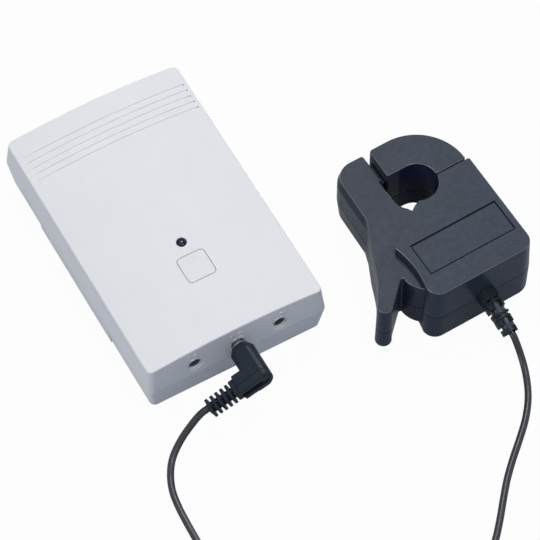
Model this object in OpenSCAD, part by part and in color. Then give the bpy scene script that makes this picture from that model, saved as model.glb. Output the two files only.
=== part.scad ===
// Wireless energy monitor: a battery transmitter box with three sensor sockets,
// and a spring-loaded current clamp on a corded right-angle plug.
// Millimetres, +Z up. The origin is the middle of the transmitter's base.

/* [Transmitter case] */
// Width at the split line, where the case is widest
case_w = 71; // [67:1:80]
// Length at the split line
case_l = 111; // [104:1:125]
// Height of the split line above the table
split_z = 12.4; // [11.6:0.2:13.4]
// Height of the top face along its long edges
edge_z = 24.5; // [24:0.5:28]
// Rise of the crowned top face from its long edges to its middle
crown = 2.6; // [2:0.2:3.4]
// Inward lean of the upper long sides
side_lean = 0.9; // [0.5:0.1:1.6]
// Inward lean of the upper short ends
end_lean = 1.4; // [0.8:0.2:2]
// Inward lean of the lower walls, from the split line down to the base
base_lean = 1.6; // [0.8:0.1:2.4]
// Wall thickness of both shells
case_wall = 2; // [1.6:0.2:2.4]
// Radius of the upright corners
corner_r = 2.2; // [1.8:0.1:4]
// Rounding of the edge round the top face
edge_r = 1.2; // [0.6:0.2:1.8]

/* [Vent grooves] */
// Number of grooves across the back of the top face
groove_count = 5; // [3:1:7]
// Distance from one groove to the next
groove_pitch = 2.75; // [2.2:0.05:3.2]
// Width of a groove
groove_w = 0.8; // [0.5:0.1:1.2]
// Depth of a groove
groove_depth = 0.45; // [0.3:0.05:0.7]
// Distance from the back edge of the top face to the first groove
groove_inset = 9; // [7:0.5:11]
// Bare margin at each end of a groove
groove_margin = 2.2; // [1.5:0.1:4]

/* [Button and lamp] */
// Side of the square push button's opening
button_side = 11.2; // [10:0.2:13]
// Corner radius of the button's opening
button_r = 1.7; // [1:0.1:2.4]
// Gap round the button
button_gap = 0.25; // [0.15:0.05:0.4]
// Travel of the button
button_travel = 0.5; // [0.3:0.1:0.6]
// Distance from the middle of the button to the front end
button_inset = 30.4; // [27:0.2:34]
// Diameter of the lamp's lens
lamp_d = 3.6; // [3:0.1:4]
// Distance from the middle of the button to the middle of the lamp
lamp_offset = 11; // [10:0.5:13]

/* [Sensor sockets] */
// Distance from one socket to the next
socket_pitch = 16.8; // [15:0.2:18]
// Height of the socket axes above the table
socket_z = 17.7; // [17:0.1:18.4]
// Bore of a socket, for a 3.5 mm jack pin
socket_bore = 3.6; // [3.55:0.01:3.65]
// Diameter of the hole in the case at each socket
socket_hole = 4.8; // [4.6:0.1:5.4]
// Length of a socket block
socket_l = 12.5; // [11:0.5:14]
// Height of a socket block
socket_h = 5.2; // [5:0.1:5.6]

/* [Circuit board] */
// Thickness of the board
board_t = 1.6; // [1.2:0.1:1.6]
// Width of the board
board_w = 44; // [42:1:47]
// Length of the board
board_l = 72; // [66:1:80]

/* [Battery bay] */
// Diameter of a cell
cell_d = 14.5; // [14:0.1:14.5]
// Length of a cell, contact nub included
cell_l = 50.5; // [49:0.5:51]
// Length of a contact spring under load
spring_l = 5.5; // [4.5:0.5:7]
// Thickness of the battery door
door_t = 1.6; // [1.4:0.1:1.8]
// Height of the door's upright side
door_side_z = 9.5; // [7:0.5:10]
// How far the door's upright side stands proud of the case
door_proud = 0.6; // [0.3:0.1:1]

/* [Plug] */
// Diameter of the jack pin
pin_d = 3.5; // [3.45:0.01:3.5]
// Length of the jack pin inside the case
pin_l = 13; // [12:0.5:13]
// Diameter of the metal collar behind the pin
collar_d = 4.4; // [4:0.1:4.6]
// Length of the collar in front of the case
collar_l = 2.2; // [1.6:0.2:3]
// Width across the flats of the plug's barrel
plug_w = 9; // [8:0.2:9.6]
// Length of the barrel from the collar to its far end
plug_l = 15.3; // [14:0.1:17]
// Angle by which the side arm droops below level
arm_droop = 20; // [10:1:22]
// Distance from the barrel's axis to the end of the arm's wide part
arm_l = 8.2; // [7.4:0.2:9]
// Number of ribs on the arm's bend relief
rib_count = 5; // [4:1:6]
// Distance from one rib to the next
rib_pitch = 2.1; // [1.8:0.05:2.2]
// Width of a rib across the arm
rib_w = 6.7; // [5.8:0.1:7.2]

/* [Cord] */
// Diameter of the cord
cord_d = 2.6; // [2.4:0.1:2.6]
// Free gap between neighbouring turns of the coil
coil_gap = 0.5; // [0.45:0.05:0.8]
// Layers in the coil
coil_layers = 4; // [2:2:4]

/* [Clamp body] */
// Thickness of the clamp's body
clamp_h = 31; // [29:0.5:34]
// Height of the clamp's split line above the table
clamp_split = 13.7; // [13:0.1:15]
// Thickness of the two plates that hold the jaw between them
plate_t = 3.3; // [2.8:0.1:3.8]
// Radius of the round cable window
window_r = 7.5; // [6.5:0.1:8]
// Outer radius of the fixed arch
arch_r = 20; // [19.5:0.1:21]
// Height of the arch's underside above the table
arch_lift = 4; // [3.4:0.1:4.4]
// Distance from the window's middle to the arch's free end
arch_reach = 7.8; // [7:0.1:8.2]
// Distance from the window's middle to the right side
body_right = 21.8; // [21.2:0.1:23]
// Distance from the window's middle to the left side
body_left = 21; // [20.6:0.1:21.4]
// Distance from the window's middle to the front side
body_front = 43.1; // [42.5:0.1:46]
// Radius of the body's upright front corners
body_r = 5; // [3:0.5:6]
// Wall thickness of the clamp's body
clamp_wall = 2; // [1.6:0.1:2.4]
// Length of the label recess in the cover
recess_l = 35.6; // [30:0.2:36]
// Width of the label recess
recess_w = 13.5; // [10:0.5:15]
// Depth of the label recess
recess_depth = 0.8; // [0.4:0.1:1]

/* [Clamp jaw] */
// Clearance above and below the jaw
jaw_gap = 0.3; // [0.25:0.05:0.4]
// Gap between the jaw and the end of the arch
jaw_throat = 1.6; // [1.4:0.1:2]
// Radius of the round ear on the pivot
ear_r = 10.1; // [9.4:0.1:10.4]
// Diameter of the pivot pin
pivot_d = 4; // [3:0.1:4.4]
// Radial running clearance of the jaw on its pin
pivot_play = 0.06; // [0.04:0.01:0.08]
// Outward bevel along the back of the jaw
bevel_w = 1; // [0.6:0.1:1.4]
// Height of that bevel
bevel_h = 4; // [3:0.1:6]
// Radius of the lever's tip
lever_tip_r = 2.7; // [2:0.1:3]
// Inward draft under the lever's outer side
lever_draft = 1.5; // [0.5:0.5:8]

/* [Magnetic core] */
// Inner radius of the core round the window
core_ri = 9.3; // [9:0.1:9.4]
// Outer radius of the core
core_ro = 18.2; // [17:0.1:18.2]
// Free height above and below the winding
winding_room = 1; // [0.6:0.1:1.6]
// Width of the core's lower limb
limb_w = 7; // [6:0.1:7]
// Thickness of the winding on the lower limb
winding_t = 2.6; // [1.8:0.1:2.8]

/* [Hidden] */
$fn = 48;

// Small joining overlap, thin slice and free clearance
eps = 0.02;
slice = 0.01;
gap = 0.3;
snug = 0.1;

// Chamfer round the base, and the crowned top of the case
base_edge = 0.5;
top_w = case_w - 2 * side_lean;
top_l = case_l - 2 * end_lean;
top_mid = edge_z + crown;
crown_r = (pow(top_w / 2, 2) + pow(crown, 2)) / (2 * crown);
function top_z(x) = sqrt(pow(crown_r, 2) - pow(x, 2)) + top_mid - crown_r;
function front_y(z) = -(case_l / 2 - end_lean * (z - split_z) / (edge_z - split_z));
function side_x(z) = -(case_w / 2 - base_lean * (1 - z / split_z));
button_y = -case_l / 2 + button_inset;
lamp_y = button_y + lamp_offset;

// Board under the top face, with the sockets hung below it
board_z = socket_z + socket_h / 2;
board_top = board_z + board_t;
board_front = front_y(board_z) + case_wall + gap;
board_hole_x = board_w / 2 - 3.5;
board_holes = [[-board_hole_x, board_front + 16], [board_hole_x, board_front + 16],
    [-board_hole_x, board_front + board_l - 5], [board_hole_x, board_front + board_l - 5]];
board_screw_r = 0.9;
post_r = 2.4;

// Switch under the button
button_foot = top_mid - case_wall - 0.8;
flange_t = 0.5;
plunger_r = 1.6;
plunger_l = 1.1;
switch_h = button_foot - button_travel - snug - board_top;

// Case screws in the four corners
boss_x = case_w / 2 - 6.5;
boss_y = case_l / 2 - 9.5;
boss_r = 3.5;
case_screw_r = 1.25;
case_screw_head_r = 2.6;
case_screw_head_t = 1.8;
screw_recess = 0.5;

// Battery bay under the left half, open to the door
contact_t = 0.5;
nub_l = 1;
nub_r = 2.6;
bay_l = cell_l + spring_l + 2 * contact_t + snug;
bay_y0 = 3 - bay_l / 2;
bay_y1 = bay_y0 + bay_l;
cell_pitch = cell_d + gap;
cell_x = side_x(cell_d / 2) + 2.5 + cell_d / 2;
cell_z = door_t + gap + snug + cell_d / 2;
bay_x1 = cell_x + cell_pitch + cell_d / 2 + gap;
bay_wall = 1.6;
tongue = 1.2;
door_y0 = bay_y0 + tongue + gap;
door_y1 = bay_y1 - tongue - gap;
door_lift = 0.2;
ledge_t = 0.7;
spring_wire = 0.7;

// Plug, turned about the socket's axis so that its arm droops
collar_y = front_y(socket_z) - gap;
barrel_y = collar_y - collar_l;
plug_end_y = barrel_y - plug_l;
arm_w = plug_w - 1.2;
arm_y = plug_end_y + arm_w / 2;
arm_step = 2;
rib_t = 0.95;
relief_l = rib_count * rib_pitch;
arm_end = arm_l + arm_step + relief_l;
arm_out = [-cos(arm_droop), 0, -sin(arm_droop)];
cord_start = [0, arm_y, socket_z] + arm_end * arm_out;

// Clamp frame: the middle of the window on the table, turned a little
clamp_at = [83.7, -35.2];
clamp_turn = 2.4;
jaw_z0 = plate_t + jaw_gap;
jaw_z1 = clamp_h - plate_t - jaw_gap;
seam_b = -0.8;
seam_gap = 0.3;
pivot = [-14.3, -28.5];
pivot_sink = 1.7;
shoulder = [-body_left - 0.5, -18.6];
waist_in = 1.3;
diag_angle = -124;
jaw_a = -arch_reach - jaw_throat;
jaw_pad = 0.7;
jaw_back = arch_r + 1.3;
jaw_back_r = 7;
jaw_left = -22;
lever_root = [jaw_left - 0.5, -2];
lever_bend = [-31.8, -23.4];
lever_tip = [-35.9, -35];
notch = pivot + ear_r * [cos(175.5), sin(175.5)];
core_play = 0.2;
core_z0 = plate_t + winding_room + winding_t + core_play / 2;
core_z1 = clamp_h - core_z0;
core_h = core_z1 - core_z0;
pole_gap = 0.3;
pole_top = -arch_reach - 0.8;
pole_low = -8.2;
limb_b1 = -13;
limb_b0 = limb_b1 - limb_w;
moving_ri = -jaw_a + jaw_pad + 1.5;
moving_ro = -jaw_left - 1.5;
winding_a0 = -2.5;
winding_a1 = 8;
bobbin_t = 0.8;
flange_w = 1;
spring_coil_r = 4.2;
spring_wire_d = 0.9;
spring_pocket_r = 5.8;
spring_turns = 5;
spring_z0 = clamp_split - 3.4;
spring_pitch = 1.5;
clamp_screw_r = 1.1;
clamp_boss_r = 2.9;
ear_room = ear_r + 0.4;
boss_by_ear = pivot + (ear_room + clamp_boss_r + snug) * [cos(43), -sin(43)];
clamp_bosses = [[body_right - 5, -body_front + 5], boss_by_ear, [body_right - 5.2, -24.6]];
jaw_screw_r = 0.9;
jaw_screws_at = [[-22.5, -9.2], pivot + [-8.1, -0.3]];

// Bend relief on the clamp: lobes on a drooping neck
relief_a = 1.9;
lobe_count = 4;
lobe_pitch = 4.3;
lobe_t = 3;
lobe_w = 8.2;
lobe_taper = 0.65;
neck_r = 2.3;
droop_step = 6.4;
relief_wall = -body_front;
function lobe_tilt(i) = 4 + i * droop_step;
function lobe_way(i) = [0, -cos(lobe_tilt(i)), -sin(lobe_tilt(i))];
function lobe_at(i) = i == 0 ? [relief_a, relief_wall - gap, clamp_split + 0.3]
    : lobe_at(i - 1) + lobe_pitch * lobe_way(i - 1);
relief_out = lobe_way(lobe_count - 1);
relief_end = lobe_at(lobe_count - 1) + lobe_t * relief_out;
function turn2(p) = [p.x * cos(clamp_turn) - p.y * sin(clamp_turn),
    p.x * sin(clamp_turn) + p.y * cos(clamp_turn)];
function clamp_point(p) = concat(clamp_at + turn2([p.x, p.y]), [p.z]);

// Cord: the stretch from the plug, the coil beyond it, and the stretch to the clamp
cord_r = cord_d / 2;
tie_t = 0.8;
tie_w = 4;
coil_turns = 2.3125;
coil_pitch = cord_d + coil_gap;
coil_in = 10.7;
coil_out = coil_in + coil_turns * coil_pitch;
coil_at = [-27.4, -152];
coil_z0 = tie_t + snug + cord_r;
coil_z1 = coil_z0 + (coil_layers - 1) * coil_pitch;
coil_start = [coil_at.x - coil_out, coil_at.y + cord_d, coil_z0];
coil_end = [coil_at.x + cord_d, coil_at.y - coil_out, coil_z1];
plug_route = [[-25.5, -69.5, 7.8], [-32, -72, 4.6], [-37.5, -75.8, 2.4], [-41, -80.5, 1.4],
    [-43.5, -86.5, 1.3], [-44.6, -93, 1.3], [-45, -99.5, 1.3], [-45.2, -106, 1.3], [-45.3, -113, 1.3],
    [-45.3, -120, 1.3], [-45.3, -127, 1.4], [-45.3, -134, 1.8], [-45.3, -140.5, 2.2]];
clamp_route = [[88, -102, 4.2], [86.2, -108.5, 1.8], [82.6, -115.6, 1.3], [77.4, -122.3, 1.3],
    [71.5, -128, 1.3], [65.5, -133.4, 1.3], [59.6, -139.2, 1.3], [54.2, -145.4, 1.3], [49, -151.6, 1.3],
    [43.6, -157.4, 1.3], [37.5, -162.4, 1.3], [30.6, -166.4, 1.3], [23.2, -168.9, 1.3],
    [15.6, -169.7, 1.3], [8.6, -169.7, 1.6], [2.2, -169.7, 2.8], [-4, -169.7, 5], [-10, -169.7, 7.6],
    [-15.6, -169.7, 9.8]];

// Points on an arc, and a tube swept along points
function arc(c, r, a0, a1, n) = [for (i = [0:n]) let (t = a0 + (a1 - a0) * i / n) c + r * [cos(t), sin(t)]];
function unit(v) = v / norm(v);
function tangent(p, i) = unit(p[min(i + 1, len(p) - 1)] - p[max(i - 1, 0)]);
function ring(c, t, r, n, ref) = let (s = unit(cross(t, ref)), u = cross(s, t))
    [for (k = [0:n - 1]) c + r * (cos(360 * k / n) * s + sin(360 * k / n) * u)];
function smooth(x) = let (t = min(max(x, 0), 1)) t * t * (3 - 2 * t);

module tube(p, r, n, ref = [0, 0, 1]) {
    points = [for (i = [0:len(p) - 1]) each ring(p[i], tangent(p, i), r, n, ref)];
    last = (len(p) - 1) * n;
    walls = [for (i = [0:len(p) - 2], k = [0:n - 1])
        let (a = i * n + k, b = i * n + (k + 1) % n) each [[a, b, b + n], [a, b + n, a + n]]];
    ends = [for (k = [1:n - 2]) each [[0, k + 1, k], [last, last + k, last + k + 1]]];
    polyhedron(points, concat(walls, ends));
}

// Turns of the coil: in and out by layers, climbing where the spiral reverses
function coil_layer(q) = min(floor(q / coil_turns), coil_layers - 1);
function coil_radius(q) = let (k = coil_layer(q), s = coil_pitch * (q - k * coil_turns))
    k % 2 == 0 ? coil_out - s : coil_in + s;
function coil_climb(q, k) = k == 0 ? 0 : smooth((q - k * coil_turns + 0.25) / 0.5) + coil_climb(q, k - 1);
function coil_point(q) = [coil_at.x + coil_radius(q) * cos(180 + 360 * q),
    coil_at.y + coil_radius(q) * sin(180 + 360 * q), coil_z0 + coil_pitch * coil_climb(q, coil_layers - 1)];
coil_steps = round(24 * coil_layers * coil_turns);
coil_path = concat([coil_start], [for (i = [0:coil_steps]) coil_point(i / 24)], [coil_end]);
// Each stretch ends in a straight stub, one cord diameter long, square to what it meets
plug_path = concat([cord_start, cord_start + cord_d * arm_out], plug_route,
    [coil_start + [0, cord_d, 0], coil_start]);
clamp_path = concat([clamp_point(relief_end), clamp_point(relief_end + cord_d * relief_out)], clamp_route,
    [coil_end + [cord_d, 0, 0], coil_end]);
function steps(p) = [for (i = [1:len(p) - 1]) norm(p[i] - p[i - 1])];
function path_length(p) = steps(p) * [for (s = steps(p)) 1];

// Plain outlines
module plate(w, l, r) {
    k = max(r, 0.2);
    offset(k) square([w - 2 * k, l - 2 * k], center = true);
}

module block(a, b) {
    translate(a) cube(b - a);
}

module rod_y(x, y0, y1, z, r) {
    translate([x, y1, z]) rotate([90, 0, 0]) cylinder(r = r, h = y1 - y0);
}

module crown_cylinder(drop) {
    translate([0, 0, top_mid - crown_r]) rotate([90, 0, 0])
        cylinder(r = crown_r - drop, h = 2 * case_l, center = true, $fn = 360);
}

module crowned_prism(inset, drop) {
    intersection() {
        translate([0, 0, split_z + 1]) linear_extrude(top_mid)
            plate(top_w - 2 * inset, top_l - 2 * inset, corner_r - inset);
        crown_cylinder(drop);
    }
}

module flat_slice(z, inset, r) {
    translate([0, 0, z]) linear_extrude(slice) plate(case_w - 2 * inset, case_l - 2 * inset, r);
}

// Transmitter shells
module upper_outer() {
    hull() {
        flat_slice(split_z, 0, corner_r);
        for (t = [0, 30, 60, 90]) crowned_prism(edge_r * (1 - cos(t)), edge_r * (1 - sin(t)));
    }
}

module upper_cavity() {
    hull() {
        flat_slice(split_z - slice, case_wall, corner_r - 1);
        crowned_prism(case_wall, case_wall);
    }
}

module socket_openings() {
    for (i = [-1:1]) {
        rod_y(i * socket_pitch, -case_l, front_y(split_z) + case_wall + 2, socket_z, socket_hole / 2);
        translate([i * socket_pitch, front_y(socket_z) + 0.5, socket_z]) rotate([90, 0, 0])
            cylinder(r1 = socket_hole / 2, r2 = socket_hole / 2 + 0.9, h = 0.9);
    }
}

module vent_grooves() {
    half = top_w / 2 - groove_margin;
    for (i = [0:groove_count - 1]) {
        y = top_l / 2 - groove_inset - i * groove_pitch;
        difference() {
            block([-half, y - groove_w / 2, split_z + 4], [half, y + groove_w / 2, top_mid + 1]);
            crown_cylinder(groove_depth);
        }
    }
}

module upper_shell() {
    color([0.86, 0.87, 0.89]) difference() {
        union() {
            difference() {
                upper_outer();
                upper_cavity();
            }
            for (x = [-boss_x, boss_x], y = [-boss_y, boss_y])
                translate([x, y, split_z]) cylinder(r = boss_r, h = edge_z - gap - split_z);
            for (p = board_holes)
                translate([p.x, p.y, board_top])
                    cylinder(r = post_r, h = top_z(p.x) - case_wall / 2 - board_top);
        }
        for (x = [-boss_x, boss_x], y = [-boss_y, boss_y])
            translate([x, y, split_z - eps]) cylinder(r = case_screw_r + 0.05, h = 8.5);
        for (p = board_holes)
            translate([p.x, p.y, board_top - eps]) cylinder(r = board_screw_r + 0.05, h = 2.2);
        translate([0, button_y, board_top]) linear_extrude(top_mid) plate(button_side, button_side, button_r);
        translate([0, lamp_y, board_top]) cylinder(r = lamp_d / 2 + 0.15, h = top_mid);
        socket_openings();
        vent_grooves();
    }
}

module lower_outer() {
    hull() {
        flat_slice(0, base_lean + base_edge, corner_r);
        flat_slice(base_edge, base_lean * (1 - base_edge / split_z), corner_r);
        flat_slice(split_z - slice, 0, corner_r);
    }
}

module lower_cavity() {
    hull() {
        flat_slice(case_wall, base_lean + case_wall, corner_r - 1);
        flat_slice(split_z, case_wall, corner_r - 1);
    }
}

module bay_walls() {
    top = split_z - 0.6;
    left = side_x(case_wall) + 1.2;
    block([left, bay_y0 - bay_wall, case_wall - eps], [bay_x1 + bay_wall, bay_y0, top]);
    block([left, bay_y1, case_wall - eps], [bay_x1 + bay_wall, bay_y1 + bay_wall, top]);
    block([bay_x1, bay_y0 - bay_wall, case_wall - eps], [bay_x1 + bay_wall, bay_y1 + bay_wall, top]);
}

module lower_shell() {
    color([0.84, 0.85, 0.88]) difference() {
        union() {
            difference() {
                lower_outer();
                lower_cavity();
            }
            bay_walls();
            for (x = [-boss_x, boss_x], y = [-boss_y, boss_y])
                translate([x, y, case_wall - eps]) cylinder(r = boss_r, h = split_z - case_wall + eps);
        }
        for (x = [-boss_x, boss_x], y = [-boss_y, boss_y]) translate([x, y, -eps]) {
            cylinder(r = case_screw_r + 0.35, h = split_z + 1);
            cylinder(r = case_screw_head_r + 0.3, h = screw_recess + case_screw_head_t + eps);
        }
        block([-case_w, door_y0 - gap, -1], [bay_x1, door_y1 + gap, door_side_z + gap]);
        block([-case_w, bay_y0, ledge_t], [bay_x1, bay_y1, case_wall + eps]);
    }
}

module battery_door() {
    right = bay_x1 - gap;
    proud = [for (z = [door_lift, door_side_z]) side_x(z) - door_proud];
    color([0.84, 0.85, 0.88]) {
        translate([0, door_y1, 0]) rotate([90, 0, 0]) linear_extrude(door_y1 - door_y0)
            polygon([[right, door_lift], [proud[0], door_lift], [proud[1], door_side_z],
                [proud[1] + 1.8, door_side_z], [proud[0] + 2.4, door_t], [right, door_t]]);
        for (y = [[door_y0 - tongue, door_y0 + 1], [door_y1 - 1, door_y1 + tongue]])
            block([proud[0] + 2, y[0], ledge_t + 0.2], [right, y[1], door_t]);
    }
}

// Button, switch and lamp
module pair_button() {
    side = button_side - 2 * button_gap;
    color([0.87, 0.88, 0.9]) {
        intersection() {
            translate([0, button_y, button_foot]) linear_extrude(top_mid)
                plate(side, side, button_r - button_gap);
            crown_cylinder(0);
        }
        translate([0, button_y, button_foot]) linear_extrude(flange_t)
            plate(button_side + 1.6, button_side + 1.6, button_r);
    }
}

module switch_plunger() {
    color([0.12, 0.12, 0.13]) translate([0, button_y, button_foot - plunger_l])
        cylinder(r = plunger_r, h = plunger_l);
}

module tact_switch() {
    color([0.2, 0.2, 0.21]) difference() {
        translate([-3, button_y - 3, board_top]) cube([6, 6, switch_h]);
        translate([0, button_y, button_foot - plunger_l - button_travel - snug])
            cylinder(r = plunger_r + 0.15, h = 4);
    }
}

module status_led() {
    r = lamp_d / 2;
    brim = r + 0.5;
    color([0.07, 0.08, 0.14]) translate([0, lamp_y, 0]) rotate_extrude() polygon(concat(
        [[0, board_top], [brim, board_top], [brim, board_top + 0.8], [r, board_top + 0.8]],
        [for (t = [0:15:90]) [r * cos(t), top_mid - 0.2 + 0.9 * sin(t)]]));
}

// Board and what it carries
module circuit_board() {
    color([0.05, 0.35, 0.2]) translate([0, 0, board_z]) linear_extrude(board_t) difference() {
        translate([-board_w / 2, board_front]) square([board_w, board_l]);
        for (p = board_holes) translate(p) circle(board_screw_r + 0.2);
    }
}

module board_screws() {
    color("silver") for (p = board_holes) translate([p.x, p.y, 0]) {
        translate([0, 0, board_z - 1.2]) cylinder(r = 1.9, h = 1.2);
        translate([0, 0, board_z - eps]) cylinder(r = board_screw_r, h = board_t + 1.8);
    }
}

module jack_socket(x) {
    front = board_front;
    nose = front_y(socket_z) + 0.9;
    color([0.13, 0.13, 0.14]) difference() {
        union() {
            block([x - 3.4, front, socket_z - socket_h / 2],
                [x + 3.4, front + socket_l, socket_z + socket_h / 2]);
            rod_y(x, nose, front + eps, socket_z, socket_hole / 2 - 0.2);
        }
        rod_y(x, nose - 1, front + socket_l - 0.8, socket_z, socket_bore / 2);
    }
}

module socket_left() {
    jack_socket(-socket_pitch);
}

module socket_centre() {
    jack_socket(0);
}

module socket_right() {
    jack_socket(socket_pitch);
}

module radio_module() {
    color([0.1, 0.3, 0.5]) block([6, board_front + 36, board_z - 1], [19, board_front + 56, board_z]);
    color("silver") block([8, board_front + 39, board_z - 3], [17, board_front + 52, board_z - 1 + eps]);
}

module main_chip() {
    color([0.08, 0.08, 0.09]) block([3, board_front + 22, board_z - 1.5], [11, board_front + 30, board_z]);
}

module antenna() {
    r = 1;
    color([0.1, 0.1, 0.1]) translate([-14, board_front + board_l - 12, board_top + r]) {
        rotate([0, 90, 0]) cylinder(r = r, h = 28);
        translate([-1, -r, -r]) cube([2, 2 * r, 2 * r]);
    }
}

// Battery bay
module cell(x, turn) {
    translate([x, (bay_y0 + bay_y1) / 2, cell_z]) rotate([0, 0, turn]) {
        front = -bay_l / 2 + contact_t + spring_l;
        rod_y(0, front, front + cell_l - nub_l, 0, cell_d / 2);
        rod_y(0, front + cell_l - nub_l - eps, front + cell_l, 0, nub_r);
    }
}

module battery_cells() {
    color([0.72, 0.55, 0.25]) for (i = [0:1]) cell(cell_x + i * cell_pitch, 180 * i);
}

module battery_contacts() {
    h = split_z - 0.6 - cell_z + 4;
    color("silver") for (i = [0:1], y = [bay_y0, bay_y1 - contact_t])
        translate([cell_x + i * cell_pitch - 4.5, y, cell_z - 4]) cube([9, contact_t, h]);
}

module battery_springs() {
    turns = 4;
    wire = spring_wire / 2;
    color("silver") for (i = [0:1]) translate([cell_x + i * cell_pitch, (bay_y0 + bay_y1) / 2, cell_z])
        rotate([0, 0, 180 * i]) {
            run = spring_l - spring_wire - 2 * snug;
            start = -bay_l / 2 + contact_t + wire + snug;
            coil = [for (k = [0:8 * turns]) let (q = k / (8 * turns), r = 4 - 1.8 * q)
                [r * cos(360 * turns * q), start + run * q, r * sin(360 * turns * q)]];
            tube(coil, wire, 6, [0, 1, 0]);
        }
}

module case_screws() {
    color("silver") for (x = [-boss_x, boss_x], y = [-boss_y, boss_y]) translate([x, y, screw_recess]) {
        cylinder(r = case_screw_head_r, h = case_screw_head_t);
        cylinder(r = case_screw_r, h = split_z - screw_recess + 8);
    }
}

// Plug
module plug_frame() {
    translate([0, 0, socket_z]) rotate([0, -arm_droop, 0]) children();
}

module plug_pin() {
    r = pin_d / 2;
    tip = collar_y + pin_l;
    color("silver") plug_frame() translate([0, tip, 0]) rotate([90, 0, 0]) rotate_extrude()
        polygon([[0, 0], [0.7, 0.1], [r - 0.1, 1.6], [r - 0.1, 2.2], [r - 0.5, 3], [r - 0.5, 3.6], [r, 4],
            [r, pin_l], [collar_d / 2, pin_l], [collar_d / 2, pin_l + collar_l], [0, pin_l + collar_l]]);
}

module barrel_plan(w) {
    c = 0.26 * w;
    h = w / 2;
    polygon([[h, c - h], [h, h - c], [h - c, h], [c - h, h],
        [-h, h - c], [-h, c - h], [c - h, -h], [h - c, -h]]);
}

module barrel_length(x, y, l, w) {
    translate([x, y, 0]) rotate([90, 0, 0]) linear_extrude(l) barrel_plan(w);
}

module plug_body() {
    color([0.13, 0.14, 0.16]) plug_frame() difference() {
        union() {
            hull() {
                barrel_length(0, barrel_y, slice, collar_d + 1.4);
                barrel_length(0, barrel_y - 2, slice, plug_w);
            }
            barrel_length(0, barrel_y - 2 + eps, plug_l - 4.4 + eps, plug_w);
            hull() {
                barrel_length(0, plug_end_y + 2.4, slice, plug_w);
                barrel_length(-0.8, plug_end_y + slice, slice, plug_w - 1.6);
            }
            translate([0, arm_y, 0]) rotate([0, -90, 0]) linear_extrude(arm_l) barrel_plan(arm_w);
            translate([0, arm_y, 0]) rotate([0, -90, 0]) linear_extrude(arm_l + arm_step)
                barrel_plan(arm_w - 1);
        }
        translate([0, plug_end_y - eps, 0]) hull() {
            for (x = [-arm_l + 1.5, plug_w / 2 - 2.6])
                translate([x, 0, 0]) rotate([-90, 0, 0]) cylinder(r = 1.6, h = 0.6);
        }
    }
}

module plug_strain_relief() {
    start = arm_l + arm_step;
    color([0.12, 0.13, 0.15]) plug_frame() translate([0, arm_y, 0]) rotate([0, -90, 0]) {
        translate([0, 0, start]) cylinder(r = cord_r + 0.6, h = relief_l);
        for (i = [1:rib_count]) translate([0, 0, start + i * rib_pitch - rib_t]) linear_extrude(rib_t)
            plate(rib_w - 0.6, rib_w, 1.4);
    }
}

// Cord, its coil and the tie
module cord_plug_run() {
    color([0.06, 0.06, 0.07]) tube(plug_path, cord_r, 8);
}

module cord_clamp_run() {
    color([0.06, 0.06, 0.07]) tube(clamp_path, cord_r, 8);
}

module cord_coil() {
    last = len(coil_path) - 1;
    apart = [for (i = [0:last], j = [i + 12:1:last]) norm(coil_path[i] - coil_path[j])];
    echo(least_coil_gap = min(apart) - cord_d);
    echo(cord_length = path_length(plug_path) + path_length(coil_path) + path_length(clamp_path));
    color([0.06, 0.06, 0.07]) tube(coil_path, cord_r, 6);
}

module coil_tie() {
    r0 = coil_in - cord_r - gap;
    r1 = coil_out + cord_r + gap;
    top = coil_z1 + cord_r + gap;
    color([0.1, 0.1, 0.1]) translate([coil_at.x + tie_w / 2, coil_at.y, 0]) rotate([90, 0, -90])
        linear_extrude(tie_w) difference() {
            translate([-r1 - tie_t, 0]) square([r1 - r0 + 2 * tie_t, top + tie_t]);
            translate([-r1, tie_t]) square([r1 - r0, top - tie_t]);
        }
}

// Clamp outlines, in the clamp's own frame
module clamp_frame() {
    translate([clamp_at.x, clamp_at.y, 0]) rotate([0, 0, clamp_turn]) children();
}

module body_plan() {
    right = body_right;
    left = -body_left;
    corner = -body_front + body_r;
    end_angle = asin((seam_b - seam_gap / 2) / window_r);
    polygon(concat([[right, seam_b - seam_gap / 2]],
        arc([right - body_r, corner], body_r, 0, -90, 8),
        arc([left + body_r, corner], body_r, -90, -180, 8),
        [for (t = [0.1:0.1:1]) [left + (shoulder.x - left) * t + 4 * waist_in * t * (1 - t),
            corner + (shoulder.y - corner) * t]],
        arc([0, 0], window_r, diag_angle, end_angle, 20)));
}

module arch_plan() {
    seam = seam_b + seam_gap / 2;
    polygon(concat(arc([0, 0], arch_r, asin(seam / arch_r), 90, 20),
        [[1 - arch_reach, arch_r], [-arch_reach, arch_r - 1], [-arch_reach, window_r]],
        arc([0, 0], window_r, 90, asin(seam / window_r), 16)));
}

module jaw_sweep_plan() {
    translate(pivot) circle(ear_room);
    inner = pole_low + 0.2;
    polygon([[-4.6, -5.6], [inner, limb_b1 + 0.6], [inner, limb_b0], pivot, [-60, pivot.y], [-60, -5.6]]);
}

module cavity_plan() {
    w = clamp_wall;
    difference() {
        union() {
            translate([-body_left + w + 1.7, -body_front + w])
                square([body_left + body_right - 2 * w - 1.7, body_front + seam_b - 3 * w]);
            jaw_sweep_plan();
        }
        difference() {
            circle(window_r + 1.5);
            jaw_sweep_plan();
        }
        for (p = clamp_bosses) translate(p) circle(clamp_boss_r);
    }
}

module core_plan(grow) {
    intersection() {
        difference() {
            circle(core_ro + grow);
            circle(core_ri - grow);
        }
        translate([-eps, -eps]) square(core_ro + 2);
    }
    translate([pole_top, core_ri - grow]) square([-pole_top, core_ro - core_ri + 2 * grow]);
    translate([core_ri - grow, limb_b0 - grow]) square([core_ro - core_ri + 2 * grow, -limb_b0 + grow]);
    translate([pole_low, limb_b0 - grow]) square([core_ro - pole_low + grow, limb_w + 2 * grow]);
}

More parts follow.
